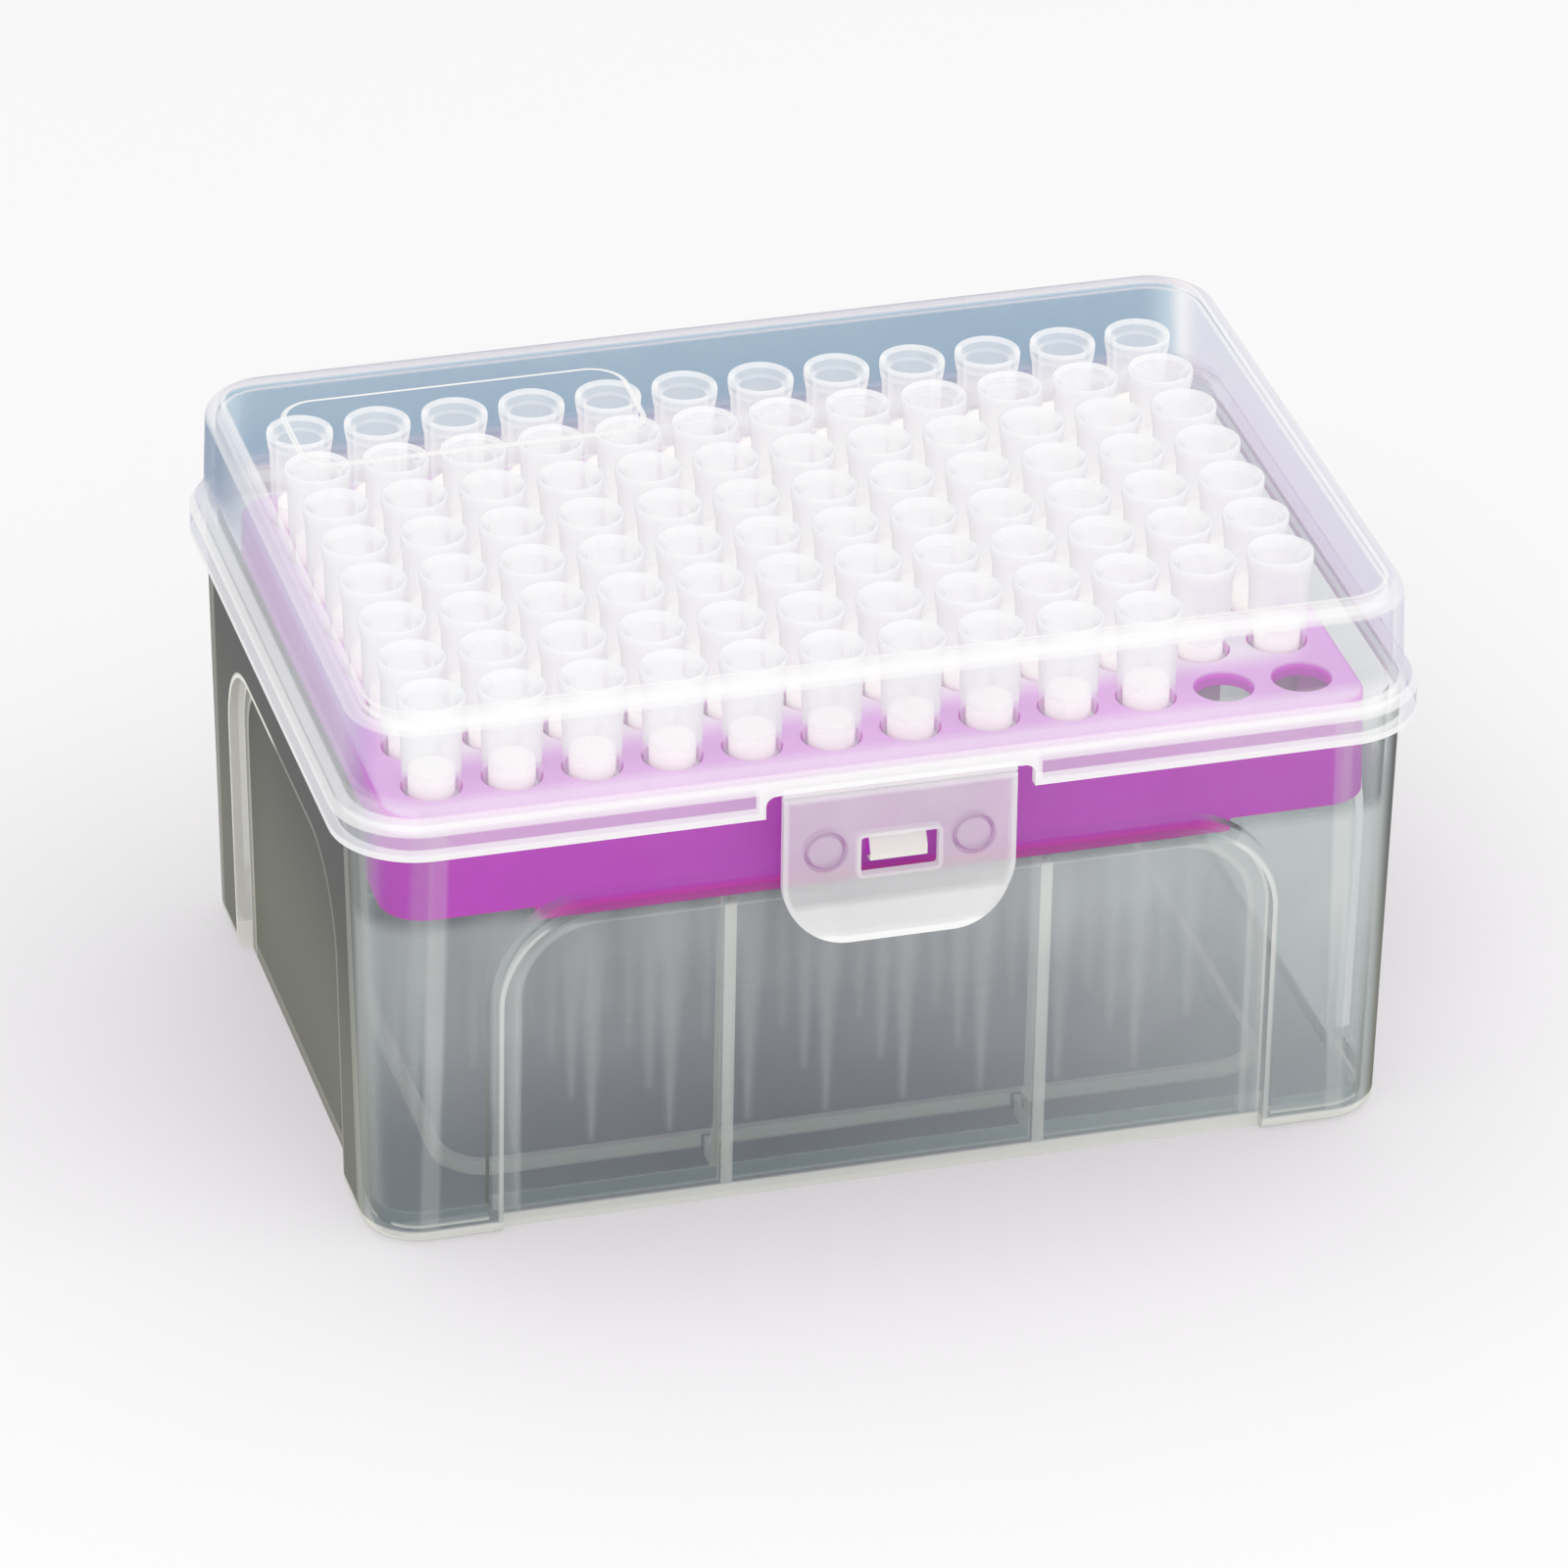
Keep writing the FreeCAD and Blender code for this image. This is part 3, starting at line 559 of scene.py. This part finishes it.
# Where the lid's wall takes a painted shade at a glancing look, and where it takes more light. The
# rear wall's bluish tint is painted shade.
GLANCE_UPWARDS = ((55.0, 60.0), 0.7, 0.3)
GLANCE_TOP = (65.0, 66.5)
GLANCE_TO_BACK = ((10.0, 36.0), 0.95, 0.35)
LID_CLOUD_GRADE = (0.6, 0.7)
LID_ENDS = (57.0, 59.0)
REAR_WALL = (39.5, 41.0)
REAR_BOTTOM = (53.5, 55.0)
LID_TINT = rgb(0.985, 0.99, 0.995)
ENDS_TINT = rgb(0.85, 0.85, 0.92)
REAR_PAINTED_SHADE = rgb(0.36, 0.54, 0.67)


def lid_painted_highlights(finish):
    """Painted highlights on the lid's edges: top edge, step, ledge, skirt, rim, cutout and label
    frame.
    """
    tree, x, y, z = finish.tree, finish.x, finish.y, finish.z
    distance = outline(tree, x, y, *LID_OUTLINE)
    back = rise(tree, y, *LID_BACK)
    curve = times(tree, rise(tree, distance, *TOP_EDGE_CURVE), fall(tree, y, *LID_FRONT))
    top_edge = times(tree, band(tree, z, *TOP_EDGE_HEIGHT), most(
        tree, times(tree, curve, FRONT_CURVE_WHITE),
        times(tree, band(tree, distance, *TOP_EDGE_LINE), graded(tree, back, *BACK_LINE_GRADE)),
        times(
            tree, rise(tree, distance, *TOP_EDGE_OUTSIDE), graded(tree, back, *BACK_OUTSIDE_GRADE),
        ),
    ))
    gap = minus(tree, finish.side_x, CUTOUT_HALF)
    cutout = times(tree, fall(tree, y, *CUTOUT_FACE), most(
        tree, times(tree, band(tree, gap, *CUTOUT_SIDE), fall(tree, z, *CUTOUT_TOP)),
        times(tree, band(tree, gap, *CUTOUT_SPAN), band(tree, z, *CUTOUT_EDGE)),
    ))
    from_label = outline(tree, minus(tree, x, LABEL_X), minus(tree, y, LABEL_Y), *LABEL_OUTLINE)
    frame_line = band(tree, maths(tree, "ABSOLUTE", from_label), *LABEL_LINE)
    return most(
        tree, top_edge, strongest(tree, z, (STEP_BAND, LEDGE_BAND, SKIRT_BAND, RIM_BAND)),
        times(tree, frame_line, rise(tree, z, *LABEL_HEIGHT)), times(tree, cutout, CUTOUT_WHITE),
    )


def lid_finish():
    finish = Finish("clear_lid")
    tree, y, z = finish.tree, finish.y, finish.z
    seen = finish.outer_face()[1]
    upright = times(
        tree, rising(tree, z, *GLANCE_UPWARDS), fall(tree, z, *GLANCE_TOP),
        rising(tree, y, *GLANCE_TO_BACK),
    )
    rear = times(tree, rise(tree, y, *REAR_WALL), rise(tree, z, *REAR_BOTTOM))
    tint = mix_colour(tree, rise(tree, finish.side_x, *LID_ENDS), LID_TINT, ENDS_TINT)
    tint = mix_colour(tree, rear, tint, REAR_PAINTED_SHADE)
    return see_through(
        finish, body=grey(0.96), painted_glance_shade=rgb(0.24, 0.33, 0.46),
        painted_highlight=rgb(0.94, 0.94, 0.925), share=0.08, glance_share=0.7, white_share=0.75,
        tint=tint, mask=lid_painted_highlights(finish), roughness=0.12, gloss=0.4, lamp_tint=grey(1.0),
        outside=times(tree, seen, upright),
        cloud=graded(tree, finish.grain(cloud=25)[1], *LID_CLOUD_GRADE),
    )


# Latch tab.

TAB_MIDDLE = 47.0
TAB_OUTLINE = (13.2, 12.6, 7.3)
TAB_EDGE = (-0.8, -0.4)
TAB_TOP = (51.6, 52.2)
WINDOW_MIDDLE = 44.3
WINDOW_OUTLINE = (4.4, 2.3, 0.3)
WINDOW_EDGE = (-0.3, 0.35, 0.25)
DISC_PLACES = (-8.4, 8.4)
DISC_HEIGHT = 45.4
DISC_EDGE = (2.05, 2.35, 0.25)
LIP_HEIGHT = (30.0, 38.2, 0.6)
LIP_EDGE = (-1.0, -0.6)
LIP_BOTTOM = (35.0, 36.0)
LIP_WHITE = 0.4
TAB_EDGE_WHITE = 0.35
TAB_TOP_WHITE = 0.5
TAB_CLOUD_GRADE = (0.5, 0.75)


def tab_finish():
    finish = Finish("milky_tab")
    tree, x, z = finish.tree, finish.x, finish.z
    height, cloudiness = finish.grain(cloud=9, fine=0.5)
    distance = outline(tree, x, minus(tree, z, TAB_MIDDLE), *TAB_OUTLINE)
    window = outline(tree, x, minus(tree, z, WINDOW_MIDDLE), *WINDOW_OUTLINE)
    up = maths(tree, "POWER", minus(tree, z, DISC_HEIGHT), 2.0)
    discs = []
    for place in DISC_PLACES:
        across = maths(tree, "POWER", minus(tree, x, place), 2.0)
        discs.append(band(tree, maths(tree, "SQRT", maths(tree, "ADD", across, up)), *DISC_EDGE))
    lip = times(tree, band(tree, z, *LIP_HEIGHT), LIP_WHITE)
    # The white edges, window edge, lip and top of the tab are painted highlights.
    mask = most(
        tree, times(tree, rise(tree, distance, *TAB_EDGE), most(tree, lip, TAB_EDGE_WHITE)),
        times(tree, band(tree, window, *WINDOW_EDGE), TAB_EDGE_WHITE), lip,
        times(tree, rise(tree, distance, *LIP_EDGE), fall(tree, z, *LIP_BOTTOM)),
        times(tree, rise(tree, z, *TAB_TOP), TAB_TOP_WHITE),
    )
    body = mix_colour(tree, most(tree, *discs), grey(0.95), rgb(0.55, 0.46, 0.55))
    return see_through(
        finish, body=body, painted_glance_shade=rgb(0.85, 0.87, 0.87), painted_highlight=rgb(0.97, 0.97, 0.96),
        share=0.30, glance_share=0.4, white_share=0.5, tint=grey(0.98), mask=mask,
        roughness=0.3, gloss=0.5, lamp_tint=grey(1.0),
        cloud=graded(tree, cloudiness, *TAB_CLOUD_GRADE), normal=finish.bump(height, strength=0.1),
    )


# Tips.

# BACK_ROWS is where the rows begin that have few or none behind them.
BACK_ROWS = (18.0, 30.0)
TO_BACK_ROWS = ((-27.0, 0.0), -0.6, 1.0)
RIM_LINES = ((63.7, 66.0, 0.2, 1.0), (62.6, 62.9, 0.2, 0.5))
ABOVE_PLATE = (48.0, 53.0)
HEAD_HEIGHT = (56.0, 61.0)
HEAD_SHARE = 0.4
FILTER_TOP = (51.5, 54.5, 1.5)
FILTER_GRADE = (-0.6, 1.0)
SHANK_SHARE = 0.38
CROWD_RIM_GRADE = (-0.92, 1.0)
CROWD_HEAD_GRADE = (0.72, 0.78)


def tip_finish():
    """White at the heads. The tub's frosting blurs the shanks, so they fade out to their sides."""
    finish = Finish("milky_tips")
    tree, y, z = finish.tree, finish.y, finish.z
    # Rows with others behind them are painted whiter, for the light scattered between the tips, and
    # their rims fainter. The rims' white lines are painted highlights.
    crowd = fall(tree, y, *BACK_ROWS)
    rim = times(tree, strongest(tree, z, RIM_LINES), graded(tree, crowd, *CROWD_RIM_GRADE))
    fading = maths(tree, "POWER", opposite(tree, glancing(tree)), 2.0)
    shank = times(tree, fading, rising(tree, y, *TO_BACK_ROWS), SHANK_SHARE)
    by_filter = graded(tree, band(tree, z, *FILTER_TOP), *FILTER_GRADE)
    heads = rising(tree, z, HEAD_HEIGHT, HEAD_SHARE, by_filter)
    heads = times(tree, heads, graded(tree, crowd, *CROWD_HEAD_GRADE))
    above = rise(tree, z, *ABOVE_PLATE)
    cloud = maths(tree, "ADD", times(tree, above, heads), times(tree, shank, opposite(tree, above)))
    head_white = rgb(0.98, 0.98, 0.985)
    return see_through(
        finish, body=mix_colour(tree, crowd, head_white, rgb(0.92, 0.92, 0.925)),
        painted_glance_shade=mix_colour(tree, crowd, head_white, rgb(0.87, 0.87, 0.88)),
        painted_highlight=grey(0.99), share=0.40, glance_share=0.45, white_share=0.3, tint=grey(1.0),
        mask=rim, roughness=0.2, gloss=0.25, lamp_tint=grey(1.0), cloud=cloud, one_sided=True,
    )


# Tip tray.

TIP_FIELD_OUTLINE = (50.8, 29.5, 3.0)
TIP_FIELD_Y = 3.0
TIP_FIELD_EDGE = (-3.0, 3.0)
PLATE_TOP = (52.45, 52.75)
PLATE_FOOT = (39.6, 40.6)
WALL_MAGENTA = rgb(0.76, 0.03, 0.76)
FOOT_MAGENTA = rgb(0.86, 0.03, 0.58)
PAINTED_LIT_PLATE_MAGENTA = rgb(0.78, 0.38, 0.84)
PLATE_WHITENED = rgb(0.88, 0.78, 0.91)
TRAY_CLOUD_GRADE = (0.25, 0.85)
TRAY_THROUGH = 0.1


def tray_finish():
    finish = Finish("magenta_tray")
    tree, x, y, z = finish.tree, finish.x, finish.y, finish.z
    height, cloudiness = finish.grain(cloud=12, fine=0.4)
    # Light scattered between the tips whitens the plate under them.
    field = outline(tree, x, minus(tree, y, TIP_FIELD_Y), *TIP_FIELD_OUTLINE)
    under_tips = fall(tree, field, *TIP_FIELD_EDGE)
    # The plate's top is painted a lighter magenta than its wall: painted light falling on the top.
    colour = mix_colour(tree, fall(tree, z, *PLATE_FOOT), WALL_MAGENTA, FOOT_MAGENTA)
    plate = mix_colour(tree, under_tips, PAINTED_LIT_PLATE_MAGENTA, PLATE_WHITENED)
    colour = mix_colour(tree, rise(tree, z, *PLATE_TOP), colour, plate)
    shade = graded(tree, cloudiness, *TRAY_CLOUD_GRADE)
    shaded = add(tree, "ShaderNodeVectorMath", {"operation": "SCALE"}, Scale=shade)
    tree.links.new(colour, shaded.inputs[0])
    skin = add(
        tree, "ShaderNodeBsdfPrincipled", Base_Color=shaded.outputs[0], Roughness=0.38,
        IOR=PLASTIC_IOR, Normal=finish.bump(height, strength=0.2),
    )
    behind = add(tree, "ShaderNodeBsdfTranslucent", Color=shaded.outputs[0])
    return finish.finish(mix_shader(tree, TRAY_THROUGH, skin.outputs[0], behind.outputs[0]))


# Filters. Little light reaches them under the plate.

IN_LIGHT = (49.5, 52.0)
FILTER_IN_SHADE = rgb(0.40, 0.28, 0.42)
FILTER_CREAM = rgb(0.95, 0.92, 0.85)
FILTER_WHITE = rgb(0.99, 0.97, 0.92)


def filter_finish():
    finish = Finish("cream_filters")
    tree = finish.tree
    height, cloudiness = finish.grain(cloud=1.5, fine=0.25)
    colour = mix_colour(tree, cloudiness, FILTER_CREAM, FILTER_WHITE)
    colour = mix_colour(tree, rise(tree, finish.z, *IN_LIGHT), FILTER_IN_SHADE, colour)
    # The filters glow a little in their own colour: painted light, for the light that scatters into
    # them through the tips.
    skin = add(
        tree, "ShaderNodeBsdfPrincipled", Base_Color=colour, Roughness=0.95, IOR=1.3,
        Normal=finish.bump(height, strength=0.6), Emission_Color=colour, Emission_Strength=0.12,
    )
    return finish.finish(skin.outputs[0])


# Tips and filters, turned from their profiles and set out along a row by one node tree. A
# profile gives radius and height in millimetres.

TIP_PROFILE = (
    (0.30, 5.10), (0.62, 5.10), (0.70, 6.2), (1.95, 27.0), (2.93, 45.0), (3.19, 52.2), (3.46, 61.4),
    (3.58, 61.9), (3.74, 62.9), (3.78, 63.2), (3.78, 63.85), (3.72, 64.04), (3.62, 64.1),
    (3.52, 64.06), (3.44, 63.95), (2.84, 63.25), (2.74, 63.0), (2.51, 45.0), (1.53, 27.0),
    (0.34, 6.2),
)
FILTER_PROFILE = (
    (0.0, 46.0), (2.36, 46.0), (2.47, 46.12), (2.6, 55.02), (2.5, 55.16), (2.2, 55.2), (0.0, 55.2),
)
TIP_SIDES = 28
FILTER_SIDES = 24
SHARP_EDGE = math.radians(50)
MERGE_DISTANCE = 0.01 * MM
ROWS = 8
PLACES = 12
FRONT_ROW_PLACES = 10
PITCH = 9.0
FIRST_X = -49.5
FIRST_Y = 31.5


def turned_row_tree():
    """Turns the profile that the mesh holds, repeats it along a row and gives it its material."""
    tree = bpy.data.node_groups.new("turned_row", "GeometryNodeTree")
    face = tree.interface
    for title, kind in (
        ("Profile", "NodeSocketGeometry"), ("Sides", "NodeSocketInt"), ("Points", "NodeSocketInt"),
        ("Places", "NodeSocketInt"), ("Pitch", "NodeSocketVector"), ("First", "NodeSocketVector"),
        ("Sharp", "NodeSocketFloat"), ("Finish", "NodeSocketMaterial"),
    ):
        face.new_socket(name=title, in_out="INPUT", socket_type=kind)
    face.new_socket(name="Row", in_out="OUTPUT", socket_type="NodeSocketGeometry")
    given = tree.nodes.new("NodeGroupInput").outputs
    made = tree.nodes.new("NodeGroupOutput").inputs

    # A grid of one column for each side, whose points take their places from the profile. A
    # point's column is its index over the points in a column, taken from the point's middle.
    rings = maths(tree, "ADD", given["Sides"], 1.0)
    grid = add(tree, "GeometryNodeMeshGrid", Vertices_X=rings, Vertices_Y=given["Points"])
    index = tree.nodes.new("GeometryNodeInputIndex").outputs[0]
    middle = maths(tree, "ADD", index, 0.5)
    column = maths(tree, "FLOOR", maths(tree, "DIVIDE", middle, given["Points"]))
    point = minus(tree, index, times(tree, column, given["Points"]))
    whole = maths(tree, "ROUND", point)
    corner = add(tree, "GeometryNodeSampleIndex", {"data_type": "FLOAT_VECTOR"}, Index=whole)
    tree.links.new(given["Profile"], corner.inputs["Geometry"])
    position = tree.nodes.new("GeometryNodeInputPosition").outputs[0]
    tree.links.new(position, corner.inputs["Value"])
    part = maths(tree, "DIVIDE", column, given["Sides"])
    turn = add(tree, "ShaderNodeVectorRotate", {"rotation_type": "Z_AXIS"})
    tree.links.new(corner.outputs[0], turn.inputs["Vector"])
    tree.links.new(times(tree, part, 2 * math.pi), turn.inputs["Angle"])
    shaped = add(
        tree, "GeometryNodeSetPosition", Geometry=grid.outputs["Mesh"], Position=turn.outputs[0],
    )
    closed = add(
        tree, "GeometryNodeMergeByDistance", Geometry=shaped.outputs[0], Distance=MERGE_DISTANCE,
    )
    smooth = add(tree, "GeometryNodeSetShadeSmooth", {"domain": "FACE"}, Shade_Smooth=True)
    tree.links.new(closed.outputs[0], smooth.inputs[0])
    bend = tree.nodes.new("GeometryNodeInputMeshEdgeAngle").outputs[0]
    folds = add(tree, "GeometryNodeSetShadeSmooth", {"domain": "EDGE"}, Shade_Smooth=False)
    tree.links.new(smooth.outputs[0], folds.inputs[0])
    tree.links.new(maths(tree, "GREATER_THAN", bend, given["Sharp"]), folds.inputs["Selection"])

    line = add(tree, "GeometryNodeMeshLine", Count=given["Places"])
    tree.links.new(given["First"], line.inputs["Start Location"])
    tree.links.new(given["Pitch"], line.inputs["Offset"])
    row = add(
        tree, "GeometryNodeInstanceOnPoints", Points=line.outputs[0], Instance=folds.outputs[0],
    )
    real = add(tree, "GeometryNodeRealizeInstances", Geometry=row.outputs[0])
    finished = add(
        tree, "GeometryNodeSetMaterial", Geometry=real.outputs[0], Material=given["Finish"],
    )
    tree.links.new(finished.outputs[0], made["Row"])
    return tree


TURNED_ROW = turned_row_tree()


def turned_row(name, profile, closed, places, y, sides, material):
    """One row of equal turned pieces as a plain mesh. closed joins the profile's ends."""
    points = [Vector((radius, 0, height)) * MM for radius, height in profile]
    if closed:
        points.append(points[0])
    mesh = bpy.data.meshes.new(name + "_profile")
    mesh.from_pydata(points, [(n, n + 1) for n in range(len(points) - 1)], [])
    maker = bpy.data.objects.new(name + "_profile", mesh)
    scene.collection.objects.link(maker)
    modifier = maker.modifiers.new("row", "NODES")
    modifier.node_group = TURNED_ROW
    values = {
        "Sides": sides, "Points": len(points), "Places": places, "Pitch": (PITCH * MM, 0, 0),
        "First": (FIRST_X * MM, y * MM, 0), "Sharp": SHARP_EDGE, "Finish": material,
    }
    for item in TURNED_ROW.interface.items_tree:
        if item.name in values:
            modifier[item.identifier] = values[item.name]
    shaped = maker.evaluated_get(bpy.context.evaluated_depsgraph_get())
    made = bpy.data.objects.new(name, bpy.data.meshes.new_from_object(shaped))
    scene.collection.objects.link(made)
    maker.modifiers.remove(modifier)
    bpy.data.objects.remove(maker)
    return made


# The moulded pieces take their finishes, and the rows their finished meshes. Lid, latch tab
# and tips let lamp light through, so they throw no shadow. Light that other surfaces scatter
# passes the lid and the tips by.

finishes = {
    "base_box": base_finish(), "tip_tray": tray_finish(), "lid": lid_finish(),
    "latch_tab": tab_finish(),
}
tip_plastic = tip_finish()
filter_plastic = filter_finish()
for name, material in finishes.items():
    nodes[name].data.materials.clear()
    nodes[name].data.materials.append(material)
for name in ("lid", "latch_tab"):
    nodes[name].visible_shadow = False
nodes["lid"].visible_diffuse = False
for row in range(1, ROWS + 1):
    places = PLACES if row < ROWS else FRONT_ROW_PLACES
    y = FIRST_Y - PITCH * (row - 1)
    tips = turned_row(f"tips_{row}", TIP_PROFILE, True, places, y, TIP_SIDES, tip_plastic)
    tips.visible_shadow = False
    tips.visible_diffuse = False
    tips.visible_glossy = False
    filters = turned_row(
        f"filters_{row}", FILTER_PROFILE, False, places, y, FILTER_SIDES, filter_plastic,
    )
    for piece, node, slot in (
        (tips, f"tip_row_{row}", "tip_plastic"), (filters, f"filter_row_{row}", "filter_plastic"),
    ):
        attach(piece, "base")
        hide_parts(node)


# Floor, light and camera, in metres and degrees.

FLOOR_HALF = 6.0
FLOOR_HEIGHT = -0.00002
SKY_STRENGTH = 0.80
LAMP_AIM = Vector((0, 0, 0.03))
LAMPS = (
    ("key", (-0.6, -1.1, 1.1), 0.9, 6.0),
    ("fill", (1.1, -0.5, 0.8), 0.8, 2.5),
    ("rear", (-0.2, 0.7, 1.4), 0.9, 1.0),
)
CAMERA_PLACE = Vector((-0.27159, -0.96070, 0.60016))
CAMERA_TURN = -15.734
CAMERA_HEIGHT = 29.794
CAMERA_ROLL = 0.794
CAMERA_LENS = 233.13
CAMERA_SENSOR = 36
CAMERA_FAR_END = 50


def floor():
    mesh = bpy.data.meshes.new("floor")
    sides = ((-1, -1), (1, -1), (1, 1), (-1, 1))
    corners = [(x * FLOOR_HALF, y * FLOOR_HALF, FLOOR_HEIGHT) for x, y in sides]
    mesh.from_pydata(corners, [], [(0, 1, 2, 3)])
    made = bpy.data.objects.new("floor", mesh)
    scene.collection.objects.link(made)
    finish = Finish("pale_floor")
    skin = add(finish.tree, "ShaderNodeBsdfDiffuse", Color=grey(0.96))
    mesh.materials.append(finish.finish(skin.outputs[0]))


def lights():
    world = bpy.data.worlds.new("studio")
    world.use_nodes = True
    background = world.node_tree.nodes["Background"]
    background.inputs["Color"].default_value = grey(1.0)
    background.inputs["Strength"].default_value = SKY_STRENGTH
    scene.world = world
    for name, place, size, power in LAMPS:
        lamp = bpy.data.lights.new(name, "AREA")
        lamp.size = size
        lamp.energy = power
        made = bpy.data.objects.new(name, lamp)
        made.location = place
        made.rotation_euler = (LAMP_AIM - Vector(place)).to_track_quat("-Z", "Y").to_euler()
        scene.collection.objects.link(made)


def camera():
    turn, height, roll = (
        math.radians(angle) for angle in (CAMERA_TURN, CAMERA_HEIGHT, CAMERA_ROLL)
    )
    back = Vector((
        math.sin(turn) * math.cos(height), -math.cos(turn) * math.cos(height), math.sin(height),
    ))
    right = (-back).cross(Vector((0, 0, 1))).normalized()
    up = right.cross(-back)
    rolled_right = right * math.cos(roll) + up * math.sin(roll)
    rolled_up = up * math.cos(roll) - right * math.sin(roll)
    lens = bpy.data.cameras.new("camera")
    lens.lens = CAMERA_LENS
    lens.sensor_width = CAMERA_SENSOR
    lens.clip_end = CAMERA_FAR_END
    made = bpy.data.objects.new("camera", lens)
    place = Matrix((rolled_right, rolled_up, back)).transposed().to_4x4()
    place.translation = CAMERA_PLACE
    made.matrix_world = place
    scene.collection.objects.link(made)
    scene.camera = made


floor()
lights()
camera()
scene.view_settings.view_transform = "Standard"
scene.cycles.transparent_max_bounces = 64
scene.cycles.max_bounces = 4
scene.cycles.diffuse_bounces = 2
scene.cycles.glossy_bounces = 2
scene.cycles.transmission_bounces = 2
scene.cycles.caustics_reflective = False
scene.cycles.caustics_refractive = False
